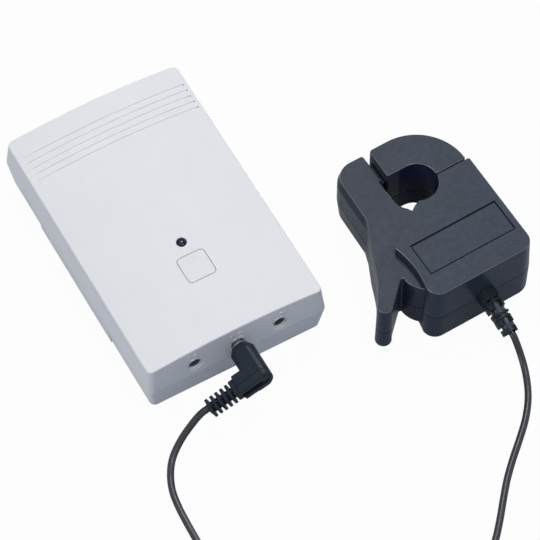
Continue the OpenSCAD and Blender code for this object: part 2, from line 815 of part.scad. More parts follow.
module moving_core_plan(grow) {
    back = moving_ro - moving_ri + 2 * grow;
    translate([-moving_ro - grow, limb_b0 - grow]) square([back, core_ro - limb_b0 + 2 * grow]);
    translate([-moving_ro, core_ri - grow])
        square([moving_ro + pole_top - pole_gap, core_ro - core_ri + 2 * grow]);
    translate([-moving_ro, limb_b0 - grow]) square([moving_ro + pole_low - pole_gap, limb_w + 2 * grow]);
}

module core_channel(z0, z1) {
    translate([0, 0, z0]) linear_extrude(z1 - z0) core_plan(core_play);
}

module relief_hole() {
    translate([relief_a, -body_front - 1, clamp_split + 0.3]) rotate([-90, 0, 0])
        cylinder(r = neck_r + 0.3, h = 8);
}

// Clamp housing
module clamp_base() {
    color([0.2, 0.22, 0.25]) clamp_frame() difference() {
        union() {
            linear_extrude(clamp_split) body_plan();
            translate([0, 0, arch_lift]) linear_extrude(clamp_split - arch_lift) arch_plan();
            translate([window_r + 0.6, seam_b - 1, arch_lift])
                cube([arch_r - window_r - 1, 2, clamp_split - arch_lift]);
        }
        translate([0, 0, plate_t]) linear_extrude(clamp_h) cavity_plan();
        core_channel(core_z0 - core_play, clamp_h);
        translate([pivot.x, pivot.y, pivot_sink]) cylinder(r = pivot_d / 2 + 0.05, h = clamp_h);
        for (p = clamp_bosses) translate([p.x, p.y, -eps]) {
            cylinder(r = clamp_screw_r + 0.3, h = clamp_h);
            cylinder(r = 2.4, h = 2.2);
        }
        relief_hole();
    }
}

module clamp_cover() {
    top_z0 = clamp_h - plate_t;
    color([0.22, 0.24, 0.27]) clamp_frame() difference() {
        translate([0, 0, clamp_split]) linear_extrude(clamp_h - clamp_split) body_plan();
        translate([0, 0, clamp_split - 1]) linear_extrude(top_z0 - clamp_split + 1) cavity_plan();
        core_channel(clamp_split - 1, core_z1 + core_play);
        translate([pivot.x, pivot.y, clamp_split])
            cylinder(r = pivot_d / 2 + 0.05, h = clamp_h - pivot_sink - clamp_split);
        for (p = clamp_bosses) translate([p.x, p.y, clamp_split - eps])
            cylinder(r = clamp_screw_r + 0.05, h = 9);
        translate([1.1 - recess_l / 2, -27.5 - recess_w / 2, clamp_h - recess_depth])
            cube([recess_l, recess_w, 2]);
        relief_hole();
    }
}

module arch_cap() {
    color([0.22, 0.24, 0.27]) clamp_frame() difference() {
        translate([0, 0, clamp_split]) linear_extrude(clamp_h - clamp_split) arch_plan();
        core_channel(clamp_split - 1, core_z1 + core_play);
    }
}

// Magnetic core and winding
module fixed_core() {
    color([0.45, 0.46, 0.48]) clamp_frame() translate([0, 0, core_z0]) linear_extrude(core_h) core_plan(0);
}

module limb_sleeve(a0, a1, inner, outer) {
    difference() {
        block([a0, limb_b0 - outer, core_z0 - outer], [a1, limb_b1 + outer, core_z1 + outer]);
        block([a0 - 1, limb_b0 - inner, core_z0 - inner], [a1 + 1, limb_b1 + inner, core_z1 + inner]);
    }
}

module winding_bobbin() {
    inner = core_play / 2;
    color([0.85, 0.82, 0.7]) clamp_frame() {
        limb_sleeve(winding_a0, winding_a1, inner, inner + bobbin_t);
        for (a = [winding_a0, winding_a1 - flange_w]) limb_sleeve(a, a + flange_w, inner, inner + winding_t);
    }
}

module secondary_winding() {
    inner = core_play / 2 + bobbin_t + 0.05;
    side = flange_w + 0.05;
    color([0.72, 0.4, 0.15]) clamp_frame()
        limb_sleeve(winding_a0 + side, winding_a1 - side, inner, inner + winding_t - 1.1);
}

// Jaw with its lever
module jaw_plan() {
    tip_left = 148;
    low = pivot + ear_r * [cos(418), sin(418)];
    polygon(concat([[jaw_a, core_ri - 0.1], [jaw_a, jaw_back - 1], [jaw_a - 1, jaw_back]],
        arc([jaw_left + jaw_back_r, jaw_back - jaw_back_r], jaw_back_r, 90, 180, 10),
        [lever_root, lever_bend],
        arc(lever_tip, lever_tip_r, tip_left, 318, 10),
        arc(pivot, ear_r, 175.5, 418, 30),
        [[low.x, limb_b1 + 0.4], [-6.6, -7.2]],
        arc([jaw_a - jaw_pad + 7.5, 0], 7.5, 240, 180, 10),
        [[jaw_a - jaw_pad, core_ri - 0.1]]));
}

module jaw_pad_plan(grow) {
    r = jaw_back_r + grow;
    middle = jaw_left + jaw_back_r;
    polygon(concat(arc([middle, jaw_back - jaw_back_r], r, 90, 180, 8),
        [[jaw_left - 0.45 - grow, lever_root.y + 1], [middle, lever_root.y + 1]]));
}

module bevelled_pad(flat_z, full_z, split) {
    hull() {
        translate([0, 0, min(flat_z, flat_z + slice)]) linear_extrude(slice) jaw_pad_plan(0);
        translate([0, 0, min(full_z, split)]) linear_extrude(abs(split - full_z)) jaw_pad_plan(bevel_w);
    }
}

module spring_room() {
    translate([pivot.x, pivot.y, spring_z0 - 1]) {
        cylinder(r = spring_pocket_r, h = spring_turns * spring_pitch + 2.4);
        linear_extrude(spring_turns * spring_pitch + 2.4)
            polygon(concat([[0, 0]], arc([0, 0], ear_r + 2, -80, -12, 8)));
    }
}

module jaw_cuts() {
    translate([0, 0, core_z0 - core_play]) linear_extrude(core_h + 2 * core_play) moving_core_plan(core_play);
    translate([pivot.x, pivot.y, 0]) cylinder(r = pivot_d / 2 + pivot_play, h = clamp_h);
    spring_room();
    translate([0, 0, clamp_split - 7]) linear_extrude(14)
        polygon([[-23.9, -12.5], lever_bend + [2.9, -1.6], lever_tip + [-0.2, 2.4], lever_tip + [2.2, 1.4],
            [-25.6, -24.4]]);
}

module lever_undercut() {
    along = lever_bend - lever_root;
    edge = atan2(along.y, along.x);
    translate([lever_bend.x, lever_bend.y, jaw_z1 - 1]) rotate([0, 0, edge + 180])
        rotate([-lever_draft, 0, 0]) translate([0, 0.05, -40])
            cube([0.8 * norm(along), 8, 40]);
}

module jaw_lower() {
    color([0.2, 0.22, 0.25]) clamp_frame() difference() {
        union() {
            translate([0, 0, jaw_z0]) linear_extrude(clamp_split - jaw_z0) jaw_plan();
            bevelled_pad(jaw_z0, clamp_split - 0.6, clamp_split);
        }
        jaw_cuts();
        lever_undercut();
        for (p = jaw_screws_at) translate([p.x, p.y, 0]) {
            cylinder(r = jaw_screw_r + 0.2, h = clamp_h);
            cylinder(r = 1.7, h = jaw_z0 + 1.6);
        }
    }
}

module jaw_upper() {
    color([0.22, 0.24, 0.27]) clamp_frame() difference() {
        union() {
            translate([0, 0, clamp_split]) linear_extrude(jaw_z1 - clamp_split) jaw_plan();
            bevelled_pad(jaw_z1 - slice, jaw_z1 - bevel_h, clamp_split);
        }
        jaw_cuts();
        lever_undercut();
        for (p = jaw_screws_at) translate([p.x, p.y, clamp_split - eps])
            cylinder(r = jaw_screw_r + 0.05, h = 8);
    }
}

module moving_core() {
    color([0.45, 0.46, 0.48]) clamp_frame() translate([0, 0, core_z0]) linear_extrude(core_h)
        moving_core_plan(0);
}

module pivot_pin() {
    color("silver") clamp_frame() translate([pivot.x, pivot.y, pivot_sink + snug])
        cylinder(r = pivot_d / 2, h = clamp_h - 2 * pivot_sink - 2 * snug);
}

module torsion_spring() {
    turns = spring_turns;
    r = spring_coil_r;
    coil = [for (k = [8 * turns:-1:0]) let (t = 45 * k - 90) [r * cos(t), r * sin(t), spring_pitch * k / 8]];
    hook = [[-spring_wire_d, -r, spring_pitch * turns]];
    leg = [for (a = [ear_r / 2, ear_r, ear_r + 3]) [a, -r, 0]];
    color("silver") clamp_frame() translate([pivot.x, pivot.y, spring_z0])
        tube(concat(hook, coil, leg), spring_wire_d / 2, 6);
}

module clamp_screws() {
    color("silver") clamp_frame() for (p = clamp_bosses) translate([p.x, p.y, 0.5]) {
        cylinder(r = 2.1, h = 1.6);
        cylinder(r = clamp_screw_r, h = clamp_split + 7.5);
    }
}

module jaw_screws() {
    color("silver") clamp_frame() for (p = jaw_screws_at) translate([p.x, p.y, jaw_z0 + 0.2]) {
        cylinder(r = 1.5, h = 1.3);
        cylinder(r = jaw_screw_r, h = clamp_split - jaw_z0 + 7);
    }
}

// Bend relief where the cord enters the clamp
module clamp_strain_relief() {
    color([0.12, 0.13, 0.15]) clamp_frame() {
        translate([relief_a, relief_wall - gap - 1, clamp_split + 0.3]) rotate([-90, 0, 0])
            cylinder(r = neck_r, h = gap + 3.2);
        translate([relief_a, relief_wall + clamp_wall + 0.1, clamp_split + 0.3]) rotate([-90, 0, 0])
            cylinder(r = 3.4, h = 1.2);
        for (i = [0:lobe_count - 1]) translate(lobe_at(i)) rotate([90 + lobe_tilt(i), 0, 0]) {
            w = lobe_w - i * lobe_taper;
            linear_extrude(lobe_t) plate(w, w, w / 3);
            if (i < lobe_count - 1) cylinder(r = neck_r + 0.2, h = lobe_pitch + 0.6);
        }
    }
}

upper_shell();
lower_shell();
battery_door();
pair_button();
switch_plunger();
tact_switch();
status_led();
circuit_board();
socket_left();
socket_centre();
socket_right();
radio_module();
main_chip();
antenna();
board_screws();
battery_cells();
battery_contacts();
battery_springs();
case_screws();
plug_pin();
plug_body();
plug_strain_relief();
cord_plug_run();
cord_coil();
coil_tie();
cord_clamp_run();
clamp_strain_relief();
clamp_base();
clamp_cover();
arch_cap();
fixed_core();
winding_bobbin();
secondary_winding();
jaw_lower();
jaw_upper();
moving_core();
pivot_pin();
torsion_spring();
clamp_screws();
jaw_screws();
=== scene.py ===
import math

import bmesh
import bpy
from mathutils import Matrix, Vector

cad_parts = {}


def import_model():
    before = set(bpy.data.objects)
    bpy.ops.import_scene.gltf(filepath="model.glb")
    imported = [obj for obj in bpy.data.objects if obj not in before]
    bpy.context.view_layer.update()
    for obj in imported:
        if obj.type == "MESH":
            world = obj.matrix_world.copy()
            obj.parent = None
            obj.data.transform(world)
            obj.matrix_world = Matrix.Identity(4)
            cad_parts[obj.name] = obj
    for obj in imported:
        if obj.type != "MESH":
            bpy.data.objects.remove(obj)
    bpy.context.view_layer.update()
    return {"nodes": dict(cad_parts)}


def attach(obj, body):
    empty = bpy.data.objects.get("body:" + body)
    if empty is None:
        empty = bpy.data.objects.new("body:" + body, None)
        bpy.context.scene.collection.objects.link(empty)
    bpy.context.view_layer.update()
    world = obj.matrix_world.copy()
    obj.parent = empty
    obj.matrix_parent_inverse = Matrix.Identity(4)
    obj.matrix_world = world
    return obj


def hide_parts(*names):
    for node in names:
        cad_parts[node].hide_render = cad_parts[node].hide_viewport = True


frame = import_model()
scene = bpy.context.scene
scene.view_settings.view_transform = "Standard"
MM = 0.001
rad = math.radians

# Camera: one fit to the straight edges of the box and the clamp
VIEW_AZ, VIEW_EL = -29.28, 59.89
VIEW_AT, VIEW_DISTANCE = (29.3, -25.5, 0), 1.15
FOCAL_PX, IMAGE_PX, SENSOR = 3200, 540, 36


def camera():
    az, el = rad(VIEW_AZ), rad(VIEW_EL)
    back = Vector((math.sin(az) * math.cos(el), -math.cos(az) * math.cos(el), math.sin(el)))
    right = Vector((math.cos(az), math.sin(az), 0))
    data = bpy.data.cameras.new("camera")
    data.sensor_width = SENSOR
    data.lens = FOCAL_PX / IMAGE_PX * SENSOR
    data.clip_start = 0.05
    data.clip_end = 20
    ob = bpy.data.objects.new("camera", data)
    turn = Matrix((right, back.cross(right), back)).transposed().to_4x4()
    turn.translation = Vector(VIEW_AT) * MM + back * VIEW_DISTANCE
    ob.matrix_world = turn
    scene.collection.objects.link(ob)
    scene.camera = ob


camera()


# Materials
MOTTLE, PATCHES = 90, 420  # noise scales of the mottled colour and of the uneven gloss
UNEVEN = (0.88, 1.12)  # range of the roughness, as a share of it
GRAIN_STRENGTH = 0.35
MIDDLE = (0.3, 0.7)  # part of a noise's range that is spread out
WAVE_PERIOD = 0.314  # metres between the bands of a wave texture of scale 1


def add_node(tree, kind, inputs=()):
    """New shader node, whose inputs are linked to sockets or set to values."""
    out = tree.nodes.new("ShaderNode" + kind)
    for key, value in dict(inputs).items():
        if isinstance(value, bpy.types.NodeSocket):
            tree.links.new(value, out.inputs[key])
        else:
            out.inputs[key].default_value = value
    return out


def new_material(name):
    mat = bpy.data.materials.new(name)
    mat.use_nodes = True
    mat.node_tree.nodes.clear()
    return mat, mat.node_tree


def principled(tree, inputs):
    shader = add_node(tree, "BsdfPrincipled", inputs)
    add_node(tree, "OutputMaterial", {"Surface": shader.outputs["BSDF"]})


def noise(tree, scale, detail=3, stretch=None):
    vector = add_node(tree, "TexCoord").outputs["Object"]
    if stretch:
        vector = add_node(tree, "Mapping", {"Vector": vector, "Scale": stretch}).outputs["Vector"]
    return add_node(tree, "TexNoise", {"Vector": vector, "Scale": scale, "Detail": detail}).outputs["Fac"]


def spread(tree, fac, low, high):
    limits = {"From Min": MIDDLE[0], "From Max": MIDDLE[1], "To Min": low, "To Max": high}
    return add_node(tree, "MapRange", {"Value": fac, **limits}).outputs["Result"]


def ramp(tree, fac, low, high):
    out = add_node(tree, "ValToRGB", {"Fac": fac})
    for stop, position, colour in zip(out.color_ramp.elements, MIDDLE, (low, high)):
        stop.position = position
        stop.color = (*colour, 1)
    return out.outputs["Color"]


def bump(tree, fac, strength, depth):
    return add_node(tree, "Bump", {"Height": fac, "Strength": strength, "Distance": depth}).outputs["Normal"]


def moulded(name, colour, rough, vary=0.03, grain=5000, depth=0.00002, metal=0, stretch=None, gloss=0.5):
    """Moulded or plated finish: faint mottling, uneven gloss and a fine surface grain."""
    mat, tree = new_material(name)
    low = tuple(c * (1 - vary) for c in colour)
    high = tuple(min(1, c * (1 + vary)) for c in colour)
    mottled = noise(tree, MOTTLE, 4, stretch)
    patchy = noise(tree, PATCHES, 5, stretch)
    fine = noise(tree, grain, 2, stretch)
    principled(tree, {"Base Color": ramp(tree, mottled, low, high),
        "Roughness": spread(tree, patchy, rough * UNEVEN[0], rough * UNEVEN[1]),
        "Normal": bump(tree, fine, GRAIN_STRENGTH, depth), "Metallic": metal, "Specular IOR Level": gloss})
    return mat


def banded(name, dark, light, pitch, axis, rough, metal):
    """Stacked sheets or wound wire: fine bands along one axis."""
    mat, tree = new_material(name)
    coords = add_node(tree, "TexCoord").outputs["Object"]
    wave = add_node(tree, "TexWave",
        {"Vector": coords, "Scale": WAVE_PERIOD / pitch, "Distortion": 0.6, "Detail": 2})
    wave.bands_direction = axis
    bands = wave.outputs["Fac"]
    principled(tree, {"Base Color": ramp(tree, bands, dark, light),
        "Roughness": spread(tree, noise(tree, 600), rough * 0.8, rough * 1.2),
        "Normal": bump(tree, bands, 0.5, 0.00005), "Metallic": metal})
    return mat


# Colour, roughness, mottling, scale of the grain and its depth in metres, then metal and stretch
WHITE = moulded("white_case", (0.78, 0.782, 0.788), 0.5, 0.012, 5200, 0.000012, gloss=0.3)
BUTTON = moulded("white_button", (0.755, 0.757, 0.763), 0.45, 0.012, 5200, 0.000012, gloss=0.3)
BLACK = moulded("black_shell", (0.035, 0.0465, 0.069), 0.27, 0.1, 4200, 0.00004, gloss=0.06)
JAW = moulded("jaw_shell", (0.036, 0.0465, 0.068), 0.27, 0.1, 4200, 0.00004, gloss=0.06)
# Painted shade: a darker, bluer colour for the wall in the clamp's window, where the light doesn't reach
PAINTED_SHADE = moulded("window_painted_shade", (0.009, 0.016, 0.055), 0.4, 0.1, 4200, 0.00003, gloss=0.05)
# Painted highlight: a lighter, glossier finish on the sloped faces of upper rounded edges, for thin light
# lines along them
EDGE_HIGHLIGHT = moulded("edge_painted_highlight", (0.05, 0.057, 0.074), 0.22, 0.1, 4200, 0.00001, gloss=1)
PLUG = moulded("dark_moulding", (0.024, 0.031, 0.042), 0.27, 0.1, 3800, 0.00003, gloss=0.05)
NECK = moulded("smooth_neck", (0.02, 0.028, 0.046), 0.31, 0.1, 3800, 0.00001, gloss=0.36)
RUBBER = moulded("cord_rubber", (0.013, 0.016, 0.024), 0.3, 0.12, 2600, 0.000003, gloss=0.48)
LAMP = moulded("lamp_lens", (0.002, 0.004, 0.03), 0.05, 0.2, 3000, 0.000001, gloss=0.22)
NICKEL = moulded("plated_metal", (0.8, 0.79, 0.78), 0.26, 0.05, 900, 0.000006, 1, (1, 6, 1))
STEEL = moulded("steel", (0.5, 0.5, 0.51), 0.3, 0.08, 1800, 0.00001, 1)
BOARD = moulded("board", (0.012, 0.12, 0.05), 0.35, 0.25, 700, 0.00002)
CHIP = moulded("chip", (0.016, 0.016, 0.018), 0.5, 0.1, 6000, 0.00001)
CAN = moulded("module_can", (0.6, 0.6, 0.6), 0.34, 0.06, 1500, 0.00001, 1, (1, 5, 1))
JACKET = moulded("cell_jacket", (0.42, 0.27, 0.08), 0.28, 0.1, 1200, 0.00001, 0.3)
SOCKET = moulded("grey_insert", (0.16, 0.16, 0.175), 0.5, 0.06, 4000, 0.00002, gloss=0.2)
BOBBIN = moulded("bobbin", (0.62, 0.57, 0.4), 0.5, 0.06, 3000, 0.00002)
CORE = banded("core_steel", (0.05, 0.05, 0.056), (0.1, 0.1, 0.108), 0.00035, "Z", 0.5, 1)
COPPER = banded("copper", (0.28, 0.1, 0.03), (0.62, 0.28, 0.1), 0.0003, "X", 0.35, 0.8)


# Outlines and solids, in millimetres
def arc(cx, cy, r, a0, a1, n):
    """Points of an arc from a0 to a1 degrees, both ends in."""
    steps = [rad(a0 + (a1 - a0) * i / n) for i in range(n + 1)]
    return [(cx + r * math.cos(t), cy + r * math.sin(t)) for t in steps]


def fillet(before, at, after, r, n=6):
    """Points of the arc that rounds the corner at."""
    p = Vector(at)
    u, v = (Vector(before) - p).normalized(), (Vector(after) - p).normalized()
    half = u.angle(v) / 2
    reach = r / math.tan(half)
    centre = p + (u + v).normalized() * r / math.sin(half)
    s, e = p + u * reach - centre, p + v * reach - centre
    turn = math.pi - 2 * half
    out = []
    for k in range(n + 1):
        f = k / n
        w = (s * math.sin((1 - f) * turn) + e * math.sin(f * turn)) / math.sin(turn)
        out.append(tuple(centre + w))
    return out


def rounded(corners, n=6):
    """Outline from corners (x, y, radius)."""
    out = []
    for i, (x, y, r) in enumerate(corners):
        if r <= 0:
            out.append((x, y))
        else:
            out += fillet(corners[i - 1][:2], (x, y), corners[(i + 1) % len(corners)][:2], r, n)
    return out


def rect_plan(low, high, r=0, n=6, right=None):
    """Rectangle between two corners, whose right side may have a corner radius of its own."""
    (x0, y0), (x1, y1) = low[:2], high[:2]
    end = r if right is None else right
    return rounded([(x0, y0, r), (x1, y0, end), (x1, y1, end), (x0, y1, r)], n)


def square_plan(side, r, n=8):
    return rect_plan((-side / 2, -side / 2), (side / 2, side / 2), r, n)


def line(a, b, n):
    """Points from a to b, the last one left out."""
    return [(a[0] + (b[0] - a[0]) * i / n, a[1] + (b[1] - a[1]) * i / n) for i in range(n)]


def normals(pts):
    """Outward normals of a counter-clockwise outline, stretched so that offsets keep their width."""
    out = []
    for i, p in enumerate(pts):
        u = (Vector(p) - Vector(pts[i - 1])).normalized()
        v = (Vector(pts[(i + 1) % len(pts)]) - Vector(p)).normalized()
        m = (Vector((u.y, -u.x)) + Vector((v.y, -v.x))).normalized()
        out.append(m / max(0.5, m.dot(Vector((u.y, -u.x)))))
    return out


def smooth(t):
    """Eases a share from 0 to 1."""
    return t * t * (3 - 2 * t)


def quarter(r, angles):
    """Insets and drops along a rounded edge of radius r, at angles from its outside."""
    return [(r * (1 - math.cos(rad(t))), r * (1 - math.sin(rad(t)))) for t in angles]


def solid(name, verts, faces):
    mesh = bpy.data.meshes.new(name)
    mesh.from_pydata([Vector(v) * MM for v in verts], [], faces)
    bm = bmesh.new()
    bm.from_mesh(mesh)
    bmesh.ops.remove_doubles(bm, verts=bm.verts, dist=1e-7)
    bmesh.ops.recalc_face_normals(bm, faces=bm.faces)
    bm.to_mesh(mesh)
    bm.free()
    ob = bpy.data.objects.new(name, mesh)
    scene.collection.objects.link(ob)
    return ob


def ring_faces(count, n):
    """Faces between count rings of n points each."""
    out = []
    for k in range(count - 1):
        for i in range(n):
            a, b = k * n + i, k * n + (i + 1) % n
            out.append((a, b, b + n, a + n))
    return out


def loft(name, rings):
    """Closed solid through rings of equally many points."""
    n = len(rings[0])
    verts = [p for ring in rings for p in ring]
    faces = ring_faces(len(rings), n)
    faces.append(tuple(reversed(range(n))))
    faces.append(tuple(range((len(rings) - 1) * n, len(rings) * n)))
    return solid(name, verts, faces)


def prism(name, pts, z0, z1):
    return loft(name, [[(x, y, z) for x, y in pts] for z in (z0, z1)])


def block(name, a, b):
    return prism(name, rect_plan(a, b), a[2], b[2])


def turned(name, profile, n=48):
    """Solid of revolution about Z from (radius, z) pairs, bottom to top."""
    rings = []
    for r, z in profile:
        rings.append([(*p, z) for p in arc(0, 0, max(r, 0.001), 0, 360 - 360 / n, n - 1)])
    return loft(name, rings)


def flared(name, plan, levels):
    """Stack of an outline that grows: levels are (z, growth) or (z, growth, growth of the right side)."""
    n = normals(plan)
    rings = []
    for z, grow, *right in levels:
        draft = right[0] if right else 0
        ring = []
        for p, v in zip(plan, n):
            ring.append((p[0] + v.x * grow + max(0, v.x) * draft, p[1] + v.y * grow, z))
        rings.append(ring)
    return loft(name, rings)


def move(ob, matrix):
    ob.data.transform(matrix)
    return ob


def shift(x, y, z):
    return Matrix.Translation(Vector((x, y, z)) * MM)


def spin(axis, angle):
    return Matrix.Rotation(rad(angle), 4, axis)


def screw_well(x, y, foot, seat, top, head_r, hole_r):
    """Cutter for a screw from below: a well up to its seat, and the hole above."""
    well = turned("well", [(head_r, foot), (head_r, seat), (hole_r, seat + 0.01), (hole_r, top)])
    return move(well, shift(x, y, 0))


def apply(ob):
    """Gives an object the mesh that its modifiers make."""
    bpy.context.view_layer.update()
    graph = bpy.context.evaluated_depsgraph_get()
    mesh = bpy.data.meshes.new_from_object(ob.evaluated_get(graph))
    ob.modifiers.clear()
    ob.data = mesh
    return ob


def carve(ob, cutters, operation="DIFFERENCE"):
    """Boolean of an object with each cutter. The cutters are used up."""
    for cutter in cutters:
        cut = ob.modifiers.new("cut", "BOOLEAN")
        cut.solver = "EXACT"
        cut.operation = operation
        cut.object = cutter
    apply(ob)
    for cutter in cutters:
        bpy.data.objects.remove(cutter)
    return ob


def join(ob, others):
    """Adds the meshes of others as they are, without their modifiers."""
    bm = bmesh.new()
    bm.from_mesh(ob.data)
    for other in others:
        bm.from_mesh(other.data)
        bpy.data.objects.remove(other)
    bm.to_mesh(ob.data)
    bm.free()
    return ob


def round_edges(ob, width, segments=3, angle=30):
    edge = ob.modifiers.new("edge", "BEVEL")
    edge.width = width * MM
    edge.segments = segments
    edge.limit_method = "ANGLE"
    edge.angle_limit = rad(angle)
    return ob


def place(ob, mat, body, node, angle=35):
    """Finishes a piece: smooth shading with sharp edges, material, body and the node it stands for."""
    if not ob.data.materials:
        ob.data.materials.append(mat)
    ob.data.shade_smooth()
    ob.data.set_sharp_from_angle(angle=rad(angle))
    even = ob.modifiers.new("even", "WEIGHTED_NORMAL")
    even.keep_sharp = True
    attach(ob, body)
    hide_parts(node)
    return ob


# Places of the plug and the clamp, and the cord between them on the points of the part's own route
SOCKET_Z = 17.7
ARM_Y, ARM_REACH = -68.787, 20.7
DROOP = 20
CLAMP_AT = (83.7, -35.2)
CLAMP_TURN = 2.4
CLAMP = shift(*CLAMP_AT, 0) @ spin("Z", CLAMP_TURN)
CORD_D = 2.6
COIL_AT = (-27.4, -152)
COIL_IN, COIL_TURNS, COIL_LAYERS, COIL_PITCH, COIL_Z = 10.7, 2.3125, 4, 3.1, 2.2
COIL_STEPS = 24  # points to a turn
CLIMB = 0.5  # turns in which a strand climbs to the next layer
TIE_W, TIE_T, TIE_ROOM = 4, 0.65, 0.2
RELIEF_AT = (1.9, -43.4, 14)
RELIEF_TILT, RELIEF_BEND = 4, 6.4  # degrees at the wall, and more for each lobe
LOBES, LOBE_PITCH, LOBE_T = 4, 4.3, 3


def lobe_tilt(i):
    return RELIEF_TILT + i * RELIEF_BEND


def lobe_way(i):
    t = rad(lobe_tilt(i))
    return Vector((0, -math.cos(t), -math.sin(t)))


def lobe_at(i):
    p = Vector(RELIEF_AT)
    for k in range(i):
        p = p + lobe_way(k) * LOBE_PITCH
    return p


def clamp_point(p):
    return tuple((CLAMP @ (Vector(p) * MM)) / MM)


def coil_point(q):
    """Middle of the strand after q turns: layers wound inwards and outwards by turns."""
    layer = min(int(q / COIL_TURNS), COIL_LAYERS - 1)
    s = COIL_PITCH * (q - layer * COIL_TURNS)
    outer = COIL_IN + COIL_TURNS * COIL_PITCH
    r = outer - s if layer % 2 == 0 else COIL_IN + s
    climb = 0
    for k in range(1, COIL_LAYERS):
        climb += smooth(min(max((q - k * COIL_TURNS + CLIMB / 2) / CLIMB, 0), 1))
    t = rad(180 + 360 * q)
    return (COIL_AT[0] + r * math.cos(t), COIL_AT[1] + r * math.sin(t), COIL_Z + COIL_PITCH * climb)


def cord_path():
    """Middle of the cord in metres, from the plug over the coil to the clamp."""
    out = Vector((-math.cos(rad(DROOP)), 0, -math.sin(rad(DROOP))))
    start = Vector((0, ARM_Y, SOCKET_Z)) + out * ARM_REACH
    plug_run = [tuple(start), tuple(start + out * CORD_D),
        (-25.5, -69.5, 7.8), (-32, -72, 4.6), (-37.5, -75.8, 2.4), (-41, -80.5, 1.4), (-43.5, -86.5, 1.3),
        (-44.6, -93, 1.3), (-45, -99.5, 1.3), (-45.2, -106, 1.3), (-45.3, -113, 1.3), (-45.3, -120, 1.3),
        (-45.3, -127, 1.4), (-45.3, -134, 1.8), (-45.3, -140.5, 2.2)]
    last = round(COIL_STEPS * COIL_LAYERS * COIL_TURNS)
    first, final = coil_point(0), coil_point(last / COIL_STEPS)
    plug_run += [(first[0], first[1] + 2 * CORD_D, first[2]), (first[0], first[1] + CORD_D, first[2])]
    coil_run = [coil_point(i / COIL_STEPS) for i in range(last + 1)]
    end = lobe_at(LOBES - 1) + lobe_way(LOBES - 1) * LOBE_T
    clamp_run = [clamp_point(end), clamp_point(end + lobe_way(LOBES - 1) * CORD_D),
        (88, -102, 4.2), (86.2, -108.5, 1.8), (82.6, -115.6, 1.3), (77.4, -122.3, 1.3), (71.5, -128, 1.3),
        (65.5, -133.4, 1.3), (59.6, -139.2, 1.3), (54.2, -145.4, 1.3), (49, -151.6, 1.3), (43.6, -157.4, 1.3),
        (37.5, -162.4, 1.3), (30.6, -166.4, 1.3), (23.2, -168.9, 1.3), (15.6, -169.7, 1.3),
        (8.6, -169.7, 1.6), (2.2, -169.7, 2.8), (-4, -169.7, 5), (-10, -169.7, 7.6), (-15.6, -169.7, 9.8),
        (final[0] + 2 * CORD_D, final[1], final[2]), (final[0] + CORD_D, final[1], final[2])]
    return [Vector(p) * MM for p in plug_run + coil_run + clamp_run[::-1]]


def cord():
    """The cord as one smooth curve, with its points and its length."""
    pts = cord_path()
    data = bpy.data.curves.new("cord", "CURVE")
    data.dimensions = "3D"
    data.bevel_depth = CORD_D / 2 * MM
    data.bevel_resolution = 4
    data.resolution_u = 4
    data.use_fill_caps = True
    spline = data.splines.new("BEZIER")
    spline.bezier_points.add(len(pts) - 1)
    length = 0
    for i, p in enumerate(pts):
        before, after = pts[max(i - 1, 0)], pts[min(i + 1, len(pts) - 1)]
        way = (after - before).normalized()
        knot = spline.bezier_points[i]
        knot.handle_left_type = knot.handle_right_type = "FREE"
        knot.co = p
        knot.handle_left = p - way * (p - before).length / 3
        knot.handle_right = p + way * (after - p).length / 3
        length += (after - p).length
    ob = bpy.data.objects.new("cord", data)
    scene.collection.objects.link(ob)
    data.materials.append(RUBBER)
    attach(ob, "monitor")
    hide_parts("cord_plug_run", "cord_coil", "cord_clamp_run")
    return ob, pts, length


CORD, CORD_POINTS, CORD_LENGTH = cord()


def hull(pts):
    """Corners of the convex outline round a set of points, counter-clockwise."""
    pts = [Vector(p) for p in sorted(set(pts))]
    corners = []
    for run in (pts, pts[::-1]):
        side = []
        for p in run:
            while len(side) > 1 and (side[-1] - side[-2]).cross(p - side[-1]) <= 1e-6:
                side.pop()
            side.append(p)
        corners += side[:-1]
    return corners


def coil_tie():
    """Strap on the far side of the coil, drawn close round the strands that pass there."""
    strands = [p / MM - Vector((*COIL_AT, 0)) for p in CORD_POINTS]
    held = hull([(p.y, p.z) for p in strands if abs(p.x) < 0.1 and 0 < p.y < 2 * COIL_IN])
    steps = 6

    def strap_line(grown):
        """The stretched line round the strands: an arc about each corner of their hull."""
        reach = CORD_D / 2 + TIE_ROOM + grown
        pts = []
        for i, p in enumerate(held):
            before, after = p - held[i - 1], held[(i + 1) % len(held)] - p
            first = math.atan2(-before.x, before.y)
            turn = (math.atan2(-after.x, after.y) - first) % (2 * math.pi)
            for k in range(steps + 1):
                t = first + turn * k / steps
                pts.append((p.x + reach * math.cos(t), p.y + reach * math.sin(t)))
        return pts

    strap = prism("coil_strap", strap_line(TIE_T), -TIE_W / 2, TIE_W / 2)
    carve(strap, [prism("room", strap_line(0), -TIE_W, TIE_W)])
    round_edges(strap, 0.15, 2, 40)
    move(strap, shift(*COIL_AT, 0) @ spin("Z", 90) @ spin("X", 90))
    return place(strap, RUBBER, "monitor", "coil_tie")


tie = coil_tie()


